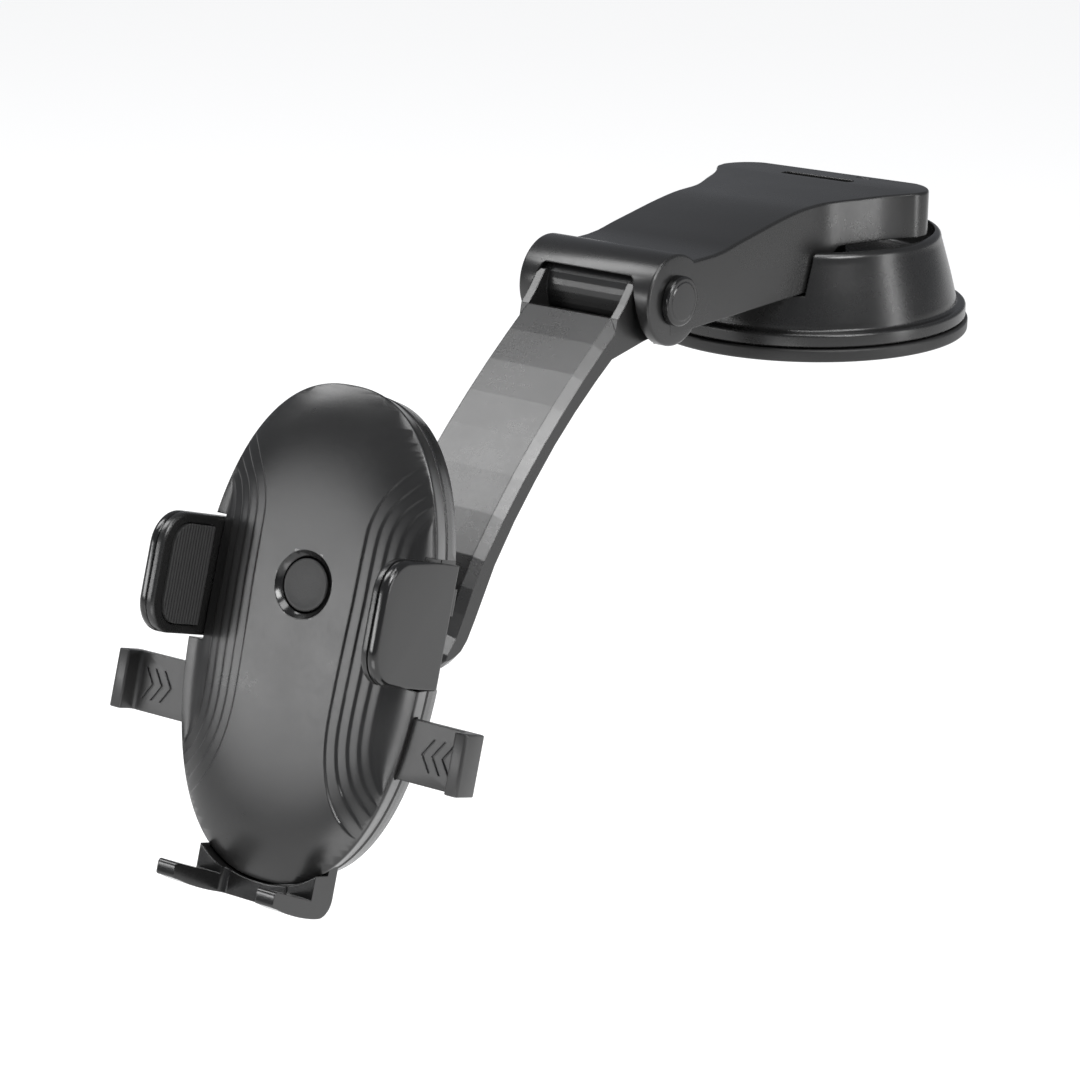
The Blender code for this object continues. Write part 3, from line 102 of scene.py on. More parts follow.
def spun(profile, steps=96, centre=(0, 0, 0), axis="Z"):
    """A closed outline of (radius, height) points turned a full circle."""
    bm = bmesh.new()
    verts = [bm.verts.new((r, 0, h)) for r, h in profile]
    edges = [bm.edges.new(pair) for pair in zip(verts, verts[1:] + verts[:1])]
    bmesh.ops.spin(
        bm, geom=verts + edges, cent=(0, 0, 0), axis=(0, 0, 1), angle=2 * pi, steps=steps, use_merge=True
    )
    bmesh.ops.remove_doubles(bm, verts=bm.verts, dist=1e-4)
    bmesh.ops.delete(bm, geom=[edge for edge in bm.edges if not edge.link_faces], context="EDGES")
    bmesh.ops.recalc_face_normals(bm, faces=bm.faces)
    if axis == "X":
        bmesh.ops.rotate(bm, verts=bm.verts, matrix=Matrix.Rotation(pi / 2, 3, "Y"))
    bmesh.ops.translate(bm, vec=centre, verts=bm.verts)
    return bm


def arc(centre, radius, start, end, count):
    angles = [radians(start + (end - start) * i / (count - 1)) for i in range(count)]
    return [(centre[0] + radius * cos(a), centre[1] + radius * sin(a)) for a in angles]


def flowing(points, per=6):
    """A Catmull-Rom curve through the points."""
    ends = [points[0]] + list(points) + [points[-1]]
    out = []
    for a, b, c, d in zip(ends, ends[1:], ends[2:], ends[3:]):
        for i in range(per):
            t = i / per
            out.append(tuple(
                0.5 * (2 * q + (r - p) * t + (2 * p - 5 * q + 4 * r - s) * t**2
                       + (3 * q - p - 3 * r + s) * t**3)
                for p, q, r, s in zip(a, b, c, d)
            ))
    return out + [points[-1]]


def filleted(points, radii, count=8):
    """The outline with its corners rounded: one radius each, 0 for a corner that stays."""
    out = []
    n = len(points)
    for i, r in enumerate(radii):
        here = Vector(points[i])
        if not r:
            out.append(tuple(here))
            continue
        a = (Vector(points[i - 1]) - here).normalized()
        b = (Vector(points[(i + 1) % n]) - here).normalized()
        half = a.angle(b) / 2
        reach = r / (sin(half) / cos(half))
        middle = here + (a + b).normalized() * r / sin(half)
        one, two = here + a * reach - middle, here + b * reach - middle
        start = atan2(one.y, one.x)
        turn = (atan2(two.y, two.x) - start + pi) % (2 * pi) - pi
        for k in range(count):
            angle = start + turn * k / (count - 1)
            out.append((middle.x + r * cos(angle), middle.y + r * sin(angle)))
    return out


print("outline tools ready")


# %% Boolean carving and finishing a piece
def carved(bm, *steps):
    """The solid after Boolean steps, each an operation and a tool."""
    made = []
    for number, shape in enumerate([bm] + [tool for _, tool in steps]):
        mesh = bpy.data.meshes.new(f"work_{number}")
        shape.to_mesh(mesh)
        shape.free()
        obj = bpy.data.objects.new(f"work_{number}", mesh)
        bpy.context.scene.collection.objects.link(obj)
        made.append(obj)
    for (operation, _), tool in zip(steps, made[1:]):
        modifier = made[0].modifiers.new("carve", "BOOLEAN")
        modifier.operation, modifier.solver, modifier.object = operation, "EXACT", tool
    graph = bpy.context.evaluated_depsgraph_get()
    mesh = bpy.data.meshes.new_from_object(made[0].evaluated_get(graph))
    out = bmesh.new()
    out.from_mesh(mesh)
    bmesh.ops.remove_doubles(out, verts=out.verts, dist=2e-3)
    bmesh.ops.dissolve_degenerate(out, edges=out.edges, dist=1e-3)
    for obj in made:
        bpy.data.objects.remove(obj)
    return out


def cut(tool):
    return ("DIFFERENCE", tool)


def add(tool):
    return ("UNION", tool)


made_pieces = {}


def piece(name, bm, body, finish, stands_for=(), edge=0.0, segments=3, angle=32, place=upright):
    """Scales the drawing to metres, stands it in place, softens its edges and lets it ride."""
    bmesh.ops.transform(bm, matrix=place @ Matrix.Scale(MM, 4), verts=bm.verts)
    mesh = bpy.data.meshes.new(name)
    bm.to_mesh(mesh)
    bm.free()
    for polygon in mesh.polygons:
        polygon.use_smooth = True
    obj = bpy.data.objects.new(name, mesh)
    bpy.context.scene.collection.objects.link(obj)
    mesh.materials.append(finish)
    if edge:
        soft = obj.modifiers.new("soft edges", "BEVEL")
        soft.width, soft.segments = edge * MM, segments
        soft.limit_method, soft.angle_limit = "ANGLE", radians(angle)
        soft.use_clamp_overlap = False
        soft.harden_normals = True
    else:
        mesh.set_sharp_from_angle(angle=radians(angle))
    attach(obj, body)
    if stands_for:
        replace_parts(obj, *([stands_for] if isinstance(stands_for, str) else stands_for))
    made_pieces[name] = obj
    print(f"{name}: {len(mesh.polygons)} faces, rides on {body}")
    return obj


# %% [markdown]
# ## Finishes
# Black plastic is never one black. A mould leaves a fine spark-eroded grain, flow makes its gloss
# vary, and handling polishes the corners and leaves faint smears. A small class lets shader maths be
# written as ordinary sums, and each finish is then a few lines that say what the surface does.


# %% Shader maths as sums
class Field:
    """A socket that can be added, multiplied and compared like a number."""

    def __init__(self, paint, socket):
        self.paint, self.socket = paint, socket

    def maths(self, operation, one, two=None, clamp=False):
        values = {0: one} if two is None else {0: one, 1: two}
        return self.paint.node("ShaderNodeMath", {"operation": operation, "use_clamp": clamp}, values)

    def __add__(self, other):
        return self.maths("ADD", self, other)

    def __radd__(self, other):
        return self.maths("ADD", other, self)

    def __sub__(self, other):
        return self.maths("SUBTRACT", self, other)

    def __rsub__(self, other):
        return self.maths("SUBTRACT", other, self)

    def __mul__(self, other):
        return self.maths("MULTIPLY", self, other)

    def __rmul__(self, other):
        return self.maths("MULTIPLY", other, self)

    def __pow__(self, other):
        return self.maths("POWER", self, other)

    def clamped(self):
        return self.maths("ADD", self, 0.0, clamp=True)


class Paint:
    """A material that is built up node by node."""

    def __init__(self, name):
        self.material = bpy.data.materials.new(name)
        self.material.use_nodes = True
        self.tree = self.material.node_tree
        self.shader = self.tree.nodes["Principled BSDF"]

    def node(self, kind, settings=None, values=None, out=0):
        made = self.tree.nodes.new(kind)
        for key, value in (settings or {}).items():
            if key == "stops":
                ramp = made.color_ramp
                while len(ramp.elements) < len(value):
                    ramp.elements.new(0.5)
                for element, (position, colour) in zip(ramp.elements, value):
                    element.position, element.color = position, colour
            else:
                setattr(made, key, value)
        for key, value in (values or {}).items():
            if isinstance(value, Field):
                self.tree.links.new(value.socket, made.inputs[key])
            else:
                made.inputs[key].default_value = value
        return Field(self, made.outputs[out])

    def where(self, scale=(1, 1, 1)):
        point = self.node("ShaderNodeTexCoord", out=3)
        return self.node("ShaderNodeMapping", {}, {"Vector": point, "Scale": scale})

    def noise(self, scale, detail=2.0, rough=0.5, stretch=(1, 1, 1)):
        values = {"Vector": self.where(stretch), "Scale": scale, "Detail": detail, "Roughness": rough}
        return self.node("ShaderNodeTexNoise", {}, values)

    def rounded(self, radius):
        return self.node("ShaderNodeBevel", {"samples": 4}, {"Radius": radius})

    def worn_edge(self, radius):
        """Near 1 along edges: where a rounded normal leans away from the true one."""
        rounded = self.rounded(radius)
        plain = self.node("ShaderNodeNewGeometry", out=1)
        lean = self.node("ShaderNodeVectorMath", {"operation": "DOT_PRODUCT"}, {0: rounded, 1: plain}, out=1)
        return ((1.0 - lean) * 6.0).clamped()

    def blend(self, share, one, two):
        return self.node("ShaderNodeMix", {"data_type": "RGBA"}, {0: share, 6: one, 7: two}, out=2)

    def relief(self, height, strength, distance, under=None):
        values = {"Height": height, "Strength": strength, "Distance": distance}
        if under:
            values["Normal"] = under
        return self.node("ShaderNodeBump", {}, values)

    def set(self, **values):
        for key, value in values.items():
            socket = self.shader.inputs[key.replace("_", " ")]
            if isinstance(value, Field):
                self.tree.links.new(value.socket, socket)
            else:
                socket.default_value = value


def grey(value, warm=0.0):
    return (value * (1 + warm), value, value * (1 - warm * 0.6), 1.0)


# %% [markdown]
# A moulded black plastic has three scales of detail: a grain of about a third of a millimetre that
# only breaks up highlights, smears some centimetres long that change the gloss, and edges that are
# a touch paler where hands rub them. One function makes them all, so that every black piece of the
# object is clearly from the same factory and yet each has its own gloss and grain.


# %% Moulded black plastic
def moulded(
    name, tone, gloss, grain=0.05, edge_tone=2.2, specular=0.5, coat=0.0, grain_scale=2600, soft_edge=0.00035
):
    paint = Paint(name)
    smear = paint.noise(26, 4.0, 0.6, (1, 1, 2.4))
    cloud = paint.noise(90, 3.0, 0.55)
    fine = paint.noise(grain_scale, 2.0, 0.7)
    speck = paint.noise(900, 1.0, 0.4)
    rub = paint.worn_edge(0.0006) * (0.35 + 0.9 * cloud)
    tint = (0.82 + 0.36 * smear).clamped()
    colour = paint.blend(tint, grey(tone * 0.82), grey(tone * 1.15, 0.01))
    colour = paint.blend((rub * 0.5).clamped(), colour, grey(tone * edge_tone, 0.01))
    rough = gloss + 0.10 * (smear - 0.5) + 0.06 * (cloud - 0.5) - 0.05 * rub + 0.04 * (speck - 0.5)
    wavy = paint.relief(cloud, 0.03, 0.0006, paint.rounded(soft_edge))
    normal = paint.relief(fine, grain, 0.0002, wavy)
    paint.set(Base_Color=colour, Roughness=rough.clamped(), Normal=normal)
    paint.set(Specular_IOR_Level=specular, Coat_Weight=coat, Coat_Roughness=0.12)
    print("finish:", name)
    return paint.material


satin_black = moulded("satin_black", 0.008, 0.27, 0.04)
arm_black = moulded("arm_black", 0.008, 0.28, 0.05)
face_satin = moulded("face_satin", 0.009, 0.30, 0.04, 1.8)
gloss_black = moulded("gloss_black", 0.006, 0.16, 0.02)
dark_matt = moulded("dark_matt", 0.006, 0.46, 0.14, 1.6)
soft_rubber = moulded("soft_rubber", 0.010, 0.46, 0.12, 1.5, 0.4, 0.0, 1800)
pad_black = moulded("pad_black", 0.014, 0.58, 0.2, 1.5, 0.35, 0.0, 1500)


# %% [markdown]
# The few metal parts are small turned or pressed steel pieces, zinc plated. Their brushing runs
# round them, and a faint blotchiness dulls the plate. The gel on the suction face is a dark,
# slightly tacky layer with dust pressed into it.


# %% Plated steel and suction gel
def plated(name):
    paint = Paint(name)
    blotch = paint.noise(160, 4.0, 0.6)
    brushed = paint.noise(700, 2.0, 0.6, (1, 1, 14))
    colour = paint.blend(blotch, grey(0.30, 0.01), grey(0.52, -0.01))
    paint.set(Base_Color=colour, Roughness=(0.22 + 0.22 * blotch + 0.08 * brushed).clamped(), Metallic=1.0)
    paint.set(Normal=paint.relief(brushed, 0.10, 0.0002))
    return paint.material


def tacky_gel(name):
    paint = Paint(name)
    dust = paint.noise(1400, 3.0, 0.8)
    print_mark = paint.noise(45, 3.0, 0.6)
    specks = ((dust - 0.62) * 9.0).clamped()
    colour = paint.blend(specks, grey(0.02), grey(0.11, 0.03))
    paint.set(Base_Color=colour, Roughness=(0.16 + 0.25 * print_mark + 0.3 * specks).clamped())
    paint.set(Normal=paint.relief(print_mark, 0.15, 0.0008))
    return paint.material


steel = plated("plated_steel")
gel = tacky_gel("suction_gel")
print("metal and gel ready")


# %% [markdown]
# ## The suction base
# Under the base is a soft cup with a sticky gel face. Over it sits a hard dome with a stepped flange,
# a rounded top edge and a sunken well for the lever. All three are turned shapes, so each is half a
# cross-section spun once round. The dome's front is then cut open where the arm folds down into it.

# %% Cup, gel and dome
cup = [(37.7, 0)] + arc((38.3, 0.7), 0.7, 270, 360, 6) + arc((38.5, 2.5), 0.5, 0, 90, 6) + [(35.4, 3.0)]
cup += [(15.3, 3.4), (10.9, 8.6), (4, 8.6), (4, 7.4), (9.3, 7.4), (9.3, 4.4), (0, 4.4), (0, 1.5), (37.7, 1.5)]
piece("suction_pad", spun(cup, 160), "base", soft_rubber, "suction_cup")

disc = [(0, 0)] + arc((37.1, 0.3), 0.3, 270, 360, 4) + arc((37.1, 0.9), 0.3, 0, 90, 4) + [(0, 1.2)]
piece("sticky_disc", spun(disc, 128), "base", gel, "gel_pad")

dome = [(38.0, 3.3), (38.4, 3.7)] + arc((37.6, 5.8), 0.8, 0, 90, 8) + arc((36.75, 7.3), 0.7, 270, 180, 7)
dome += flowing([(36.0, 7.8), (35.2, 11), (34.1, 15), (32.9, 19), (32.0, 22.0)], 3)
dome += arc((30.3, 22.4), 1.6, 8, 90, 9) + [(30.3, 23.5)] + arc((29.2, 17.0), 1.0, 0, -90, 5)
dome += [(3.3, 16.0), (3.3, 13.8), (28.3, 13.8), (33.3, 8.0), (33.9, 3.3)]
mouth = slab([(-45, 14.5), (-24.4, 14.5), (-16, 23), (-16, 28), (-45, 28)], "X", -18.55, 18.55)
lug = [(-10.5, 15)] + [(-1.5, 15)] + arc((-6, 28.5), 3.6, 0, 180, 16)
lugs = [add(slab(lug, "X", low, low + 3.2)) for low in (-12.0, 8.8)]
pin_bore = cut(spun([(0, -20), (2.3, -20), (2.3, 20), (0, 20)], 32, (0, -6, 28.5), "X"))
dome = carved(spun(dome, 192), cut(mouth), *lugs, pin_bore)
piece("base_dome", dome, "base", satin_black, "base_housing")

# %% [markdown]
# ## The upper arm
# The arm is a hollow lid. Its top rises gently to the head, and its straight sides flare in an S
# to the head's rounded end, which is the lever for the thumb. One cross-section with softened top
# corners is extruded again and again along the arm, and each step takes the width and the height
# that the arm has there. The last steps shrink it round the rear corners.

# %% Arm sections


def between(table, y):
    """Reads a smooth value from (y, value) points."""
    if y <= table[0][0]:
        return table[0][1]
    for (a, va), (b, vb) in zip(table, table[1:]):
        if y <= b:
            return va + (vb - va) * (y - a) / (b - a)
    return table[-1][1]


arm_top_line = flowing([
    (-82, 30.25), (-72.3, 30.3), (-62.2, 30.35), (-54.5, 31.6), (-46.8, 32.8),
    (-38.9, 34.0), (-30.9, 34.9), (-24, 35.1), (-10, 35.1), (12.8, 35.0),
], 6)
flank_line = flowing([
    (-30, 17.95), (-24, 17.95), (-20.5, 18.5), (-17, 19.7), (-12, 21.7),
    (-6, 24.0), (-1.2, 26.5), (1.8, 28.5), (3.9, 29.4),
], 8)


def arm_half(y):
    if y <= 3.9:
        return between(flank_line, y)
    return 20.4 + sqrt(max(0.0, 81.0 - (y - 3.8) ** 2))


def arm_bottom(y):
    return 15.2 + (24.6 - 15.2) * min(1.0, max(0.0, (y + 25.0) / 8.0))


def arm_section(y, drop, wall, edge, floor=None):
    half, top = arm_half(y) - wall, between(arm_top_line, y) - drop - wall
    low = arm_bottom(y) if floor is None else floor
    right = [(half, low)] + arc((half - edge, top - edge), edge, 0, 90, 6)
    return [(x, y, z) for x, z in right] + [(-x, y, z) for x, z in reversed(right)]


def swept(sections):
    """A solid that starts as one section and is extruded through all the others."""
    bm = bmesh.new()
    face = bm.faces.new([bm.verts.new(point) for point in sections[0]])
    ring = list(face.verts)
    for number, section in enumerate(sections[1:]):
        before = face
        moved = bmesh.ops.extrude_face_region(bm, geom=[face])["geom"]
        face = next(part for part in moved if isinstance(part, bmesh.types.BMFace))
        ring = match_ring(ring, face)
        if number:
            bmesh.ops.delete(bm, geom=[before], context="FACES_ONLY")
        for vert, point in zip(ring, section):
            vert.co = point
    bmesh.ops.recalc_face_normals(bm, faces=bm.faces)
    return bm


def match_ring(old, face):
    """The new face's corners in the order of the old ring, found by where they still lie."""
    corners = list(face.verts)
    return [min(corners, key=lambda v, o=o: (v.co - o.co).length_squared) for o in old]


arm_ys = [-80.3, -76, -72, -68, -64] + [-60 + 2.4 * i for i in range(16)]
arm_ys += [-22.5 + 1.32 * i for i in range(20)]
corner_ys = [3.8 + 9.0 * sin(radians(a)) for a in range(10, 80, 8)] + [12.35, 12.6]
arm_sections = [arm_section(y, 0, 0, 0.7) for y in arm_ys + corner_ys]
arm_sections.append(arm_section(12.75, 0.25, 0, 0.7))
arm_sections.append(arm_section(12.8, 0.7, 0, 0.5))
print("arm:", len(arm_sections), "sections, half width", round(arm_half(-5), 1), "mm beside the lever pin")

# %% [markdown]
# The front of the arm ends in a barrel that holds the hinge. It is hollowed for the lower arm's hub,
# and a window opens in front, so that the lower arm can swing. The shape of the window's sides
# comes from a cutter that widens downwards. The head's top has a shallow slot for a grip.

# %% Upper arm
FOLD = (0, -78.3, 22.6)
BARREL_R, BARREL_END, BARREL_EDGE = 10.1, 17.92, 0.6
corner = [(BARREL_EDGE * sin(radians(a)), BARREL_EDGE * cos(radians(a))) for a in (30, 60, 90)]
barrel = [(0, -BARREL_END), (9.5, -BARREL_END)]
barrel += [(9.5 + across_edge, -17.32 - along_edge) for across_edge, along_edge in corner]
barrel = barrel + [(r, -h) for r, h in reversed(barrel)]
hollow = [arm_section(y, 0, 2.0, 0.5, 5.0) for y in [-68.8, -64] + arm_ys[5:] if y < 3.6]
hollow += [[(x * 0.99, y, z) for x, _, z in arm_section(3.2, 0, 2.0, 0.5, 5.0)] for y in (5.5,)]
hollow += [[(x * 0.8, y, z) for x, _, z in arm_section(3.2, 0, 2.0, 0.5, 5.0)] for y in (10.8,)]
lip_z = FOLD[2] + BARREL_R * sin(radians(36.5))
room = arc(FOLD[1:], 9.1, 215, -15, 40) + [(-66.3, 8.6), (-86.0, 8.6)]
window = [(-11.8, lip_z), (-12.6, lip_z - 0.6), (-13.3, 26.2), (-14.3, 23.6)]
window += [(-15.0, 20.0), (-15.4, 16.0), (-15.6, 7.6)]
window += [(-x, z) for x, z in reversed(window)]
slot_top = filleted([(-11, 3.7), (9, 3.7), (9, 6.7), (-11, 6.7)], [0.6, 1.4, 1.4, 0.6], 6)
latch = filleted([(6.6, 9.9), (10.6, 9.9), (10.6, 10.9), (6.6, 10.9)], [0.3] * 4, 3)
bolt_bore = spun([(0, -25), (3.3, -25), (3.3, 25), (0, 25)], 48, FOLD, "X")
nut_seat = spun([(0, -25), (5.8, -25), (5.8, -15.75), (0, -15.75)], 72, FOLD, "X")
shell = carved(
    swept(arm_sections), add(spun(barrel, 160, FOLD, "X")), cut(swept(hollow)),
    cut(slab(room, "X", -13.8, 13.8)), cut(slab(window, "Y", -98, -80.8)), cut(bolt_bore), cut(nut_seat),
    cut(slab(slot_top, "Z", 34.1, 40)), cut(slab(latch, "Z", 34.7, 40)),
)
piece("upper_arm", shell, "upper_arm", arm_black, "upper_arm_shell")

# %% [markdown]
# The hinge bolt shows as a round cap on the right, where a stepped, polished rim catches a thin ring
# of light. Its nut lies sunk in the other ear, flush with the arm. Both are turned profiles.

# %% Hinge caps
bolt_head = [(0, -13.6), (3.0, -13.6), (3.0, 18.25), (5.5, 18.25), (5.5, 18.7)]
bolt_head += arc((4.9, 19.3), 0.6, 0, 90, 6) + [(4.3, 19.9), (4.15, 20.05), (0, 20.15)]
nut_head = [(0, -13.9), (3.0, -13.9), (3.0, -16.05), (5.5, -16.05)]
nut_head += [(5.5, -17.45), (5.1, -17.85), (0, -17.85)]
for name, head, node in (("right", bolt_head, "fold_bolt"), ("left", nut_head, "fold_nut")):
    turned_cap = spun(head, 96, FOLD, "X")
    piece(f"hinge_cap_{name}", turned_cap, "upper_arm", gloss_black, node)

# %% [markdown]
# ## The lower arm
# The frame's own lower arm has the true shape: a curved beam with a broad flat chamfer, a hub and two
# cheeks. It stays, and gets its finish further down. What other pieces need from it is a way to lay
# a turned shape along any direction, which the ball joint and the screw wells use.

# %% Along a direction


def along(bm, at, direction):
    """Turns a piece drawn up the Z axis to run along a direction from a point, in mm."""
    turn = Vector((0, 0, 1)).rotation_difference(Vector(direction)).to_matrix()
    bmesh.ops.rotate(bm, verts=bm.verts, matrix=turn, cent=(0, 0, 0))
    bmesh.ops.translate(bm, verts=bm.verts, vec=at)
    return bm


def screw_well(at, direction, length=5.0):
    profile = [(0, -6), (2.2, -6), (2.2, 1.4), (1.05, 1.4), (1.05, length), (0, length)]
    return cut(along(spun(profile, 32), at, direction))


ball_mm = ball_centre / MM
print("ball joint centre in mm:", [round(v, 1) for v in ball_mm])

# %% [markdown]
# ## The ball joint
# The ball stud is moulded in harder plastic and polished where the soft liner grips it. Behind the
# cradle, a knurled nut squeezes the liner. Its knurl is a ring of shallow flutes, made by pushing
# every other column of the turned outline inwards.

# %% Ball, liner and nut
BALL_R, NECK_R, LINER_R = 7.0, 3.2, 8.7
neck_at = sqrt(BALL_R**2 - NECK_R**2)
angles = [radians(-80 + 142 * i / 24) for i in range(25)]
stud = [(0, -BALL_R)]
stud += [(BALL_R * cos(a), BALL_R * sin(a)) for a in angles if BALL_R * sin(a) < neck_at - 0.2]
stud += [(3.4, neck_at), (NECK_R, neck_at + 0.5), (NECK_R, 15.0), (0, 15.0)]
ball = along(spun(stud, 64), ball_mm, -outward)
piece("ball_and_neck", ball, "lower_arm", gloss_black, "ball_stud")

cup = [(LINER_R * sin(radians(a)), -22 + LINER_R * cos(radians(a))) for a in range(0, 95, 6)]
cup += [(7.3 * sin(radians(a)), -22 + 7.3 * cos(radians(a))) for a in range(94, -1, -6)]
cup[-1] = (0, -14.7)
piece("socket_liner", spun(cup, 72), "ball_tilt", soft_rubber, "ball_liner", place=cradle)

nut = [(11.3, -14.0), (12.1, -14.0), (12.6, -14.5), (12.6, -22.6)] + arc((11.9, -23.2), 0.7, 20, -50, 4)
nut += [(8.7, -27.4), (6.6, -27.4), (7.0, -26.6), (9.0, -24.6), (9.0, -21.4), (11.3, -21.4)]
nut = spun(nut, 144)
for vert in nut.verts:
    turn = atan2(vert.co.y, vert.co.x)
    radius = Vector(vert.co.xy).length
    if radius > 12.0 and -23.0 < vert.co.z < -14.2:
        vert.co.xy *= (radius - 0.45 * max(0.0, cos(24 * turn)) ** 2) / radius
piece("grip_nut", nut, "ball_pan", dark_matt, "ring_nut", place=cradle)

# %% [markdown]
# ## The cradle's face
# The face is the piece that everyone looks at. Its outline is a superellipse, fuller than an
# ellipse, and the middle is a smooth, slightly domed plateau. On each side five narrow terraces
# step down from it. They run straight beside the jaws and curl outwards at both ends until they
# meet the rim. A plain grid is bent for this: rows go up the face, and a pair of columns follows
# each step's line, so every riser is crisp. Points past the rim slide onto it and merge.

# %% Cradle outline
HALF_W, HALF_H, POWER = 28.5, 50.0, 2.33
RISE, STEP, RISER, POCKET = 3.8, 0.40, 0.42, 0.5


def rim_half(l):
    return HALF_W * max(0.0, 1.0 - (abs(l) / HALF_H) ** POWER) ** (1 / POWER)


def oval(inset, z, count=176, taper=0.0):
    points = []
    for i in range(count):
        a = 2 * pi * i / count
        x = abs(cos(a)) ** (2 / POWER) * (HALF_W - inset - taper) * (1 if cos(a) >= 0 else -1)
        y = abs(sin(a)) ** (2 / POWER) * (HALF_H - inset - taper * 0.5) * (1 if sin(a) >= 0 else -1)
        points.append((x, y, z))
    return points


def taper_at(z):
    return 2.6 * min(0.0, z) / -12.2


inner_line = flowing([
    (-43.0, 30.0), (-37.4, 21.6), (-36.3, 19.7), (-33.0, 16.6), (-28.6, 14.2), (-22.9, 12.5),
    (-17.1, 11.8), (-9.1, 11.8), (0.9, 12.1), (9.0, 12.4), (20.9, 12.6), (24.9, 13.1), (29.1, 14.6),
    (34.7, 18.4), (38.6, 22.7), (42.5, 29.5),
], 6)
outer_line = flowing([
    (-33.5, 33.0), (-28.1, 25.5), (-24.6, 22.9), (-21.0, 21.6), (-17.1, 21.1), (-11.1, 21.2), (-6.1, 21.5),
    (5.0, 21.6), (15.0, 21.7), (21.7, 22.1), (25.8, 23.5), (28.6, 25.8), (34.0, 33.0),
], 6)


def step_line(k, l):
    """How far out the k-th of five step lines lies at height l; past its end it runs off the rim."""
    inner, outer = between(inner_line, l), between(outer_line, l)
    if l > 34.0 or l < -33.5:
        outer = max(outer, inner + 9.5)
    share = k / 4
    return inner + (outer - inner) * share


def face_height(x, l):
    rho = ((abs(x) / HALF_W) ** POWER + (abs(l) / HALF_H) ** POWER) ** (1 / POWER)
    return RISE * (1.0 - min(1.0, rho) ** 7)


print("step lines at mid height:", [round(step_line(k, 0), 1) for k in range(5)], "mm")

# %% [markdown]
# The grid is now warped. Each half has columns for the plateau, then for every step the riser's top
# and foot with a few between, and last the dark pocket by the rim. The rim is then pulled down in
# rings to make the side band, and the mesh is closed underneath before the inside is carved out.

# %% Warped face grid
# Each column: the step line that it follows, its offset in mm, how many steps it has gone down
columns = [(None, share, 0.0) for share in (0.0, 0.14, 0.28, 0.42, 0.56, 0.68, 0.79, 0.88, 0.95)]
for k in range(5):
    columns += [(k, -RISER / 2 - 0.10, k), (k, -RISER / 2 + 0.05, k + 0.06)]
    columns += [(k, RISER / 2 - 0.05, k + 0.94), (k, RISER / 2 + 0.10, k + 1)]
    if k < 4:
        columns += [(k + 0.35, 0.0, k + 1), (k + 0.65, 0.0, k + 1)]
columns += [("rim", share, 5 + min(1.0, share * 3) * POCKET / STEP) for share in (0.15, 0.35, 0.6, 0.8)]
columns += [("rim", 1.0, 6)]
both = [(-1, c) for c in reversed(columns[1:])] + [(1, c) for c in columns]
ROWS = 230
bm = bmesh.new()
bmesh.ops.create_grid(bm, x_segments=len(both) - 1, y_segments=ROWS, size=1.0)
for vert in bm.verts:
    column = round((vert.co.x + 1) / 2 * (len(both) - 1))
    turn = vert.co.y * pi / 2
    l = HALF_H * abs(sin(turn)) ** (2 / POWER) * (1 if turn >= 0 else -1)
    side, (line, offset, steps) = both[column]
    rim = rim_half(l)
    if line is None:
        x = offset * step_line(0, l)
    elif line == "rim":
        start = step_line(4, l) + RISER
        x = start + (rim - start) * offset if start < rim else rim
    else:
        x = step_line(line, l) + offset
    x = min(x, rim)
    rho = ((x / HALF_W) ** POWER + (abs(l) / HALF_H) ** POWER) ** (1 / POWER)
    fade = 1.0 - min(1.0, rho) ** 16
    vert.co = Vector((side * x, l, face_height(x, l) - STEP * steps * fade))
bmesh.ops.remove_doubles(bm, verts=bm.verts, dist=0.02)
bmesh.ops.dissolve_degenerate(bm, edges=bm.edges, dist=0.005)
rim_edges = [edge for edge in bm.edges if edge.is_boundary]
print("face grid:", len(bm.faces), "faces, rim of", len(rim_edges), "edges")
for z, outset in ((-0.25, 0.22), (-0.6, 0.30), (-1.1, 0.26), (-5.2, 0.0), (-5.6, -0.12), (-5.7, -0.45)):
    moved = bmesh.ops.extrude_edge_only(bm, edges=rim_edges)["geom"]
    rim_edges = [part for part in moved if isinstance(part, bmesh.types.BMEdge)]
    shrink = taper_at(z) - outset
    for vert in {v for edge in rim_edges for v in edge.verts}:
        x, y = vert.co.x, vert.co.y
        base = max(1e-6, ((abs(x) / HALF_W) ** POWER + (abs(y) / HALF_H) ** POWER) ** (1 / POWER))
        vert.co.x, vert.co.y = x / base * (1 - shrink / HALF_W), y / base * (1 - shrink * 0.7 / HALF_H)
        vert.co.z = z
bmesh.ops.contextual_create(bm, geom=rim_edges)
bmesh.ops.recalc_face_normals(bm, faces=bm.faces)
face_shape = bm


# %% [markdown]
# The cover is a shell, so its inside is carved out with a smaller stack of ovals. The button's well,
# the jaw recesses, the slots of the squeeze tabs and the slot of the foot follow. The cone at the
# mouth of the button's well is polished, and so it takes the glossy finish by its place.


# %% Front cover
def box_cut(low, high):
    return cut(block([min(a, b) for a, b in zip(low, high)], [max(a, b) for a, b in zip(low, high)]))


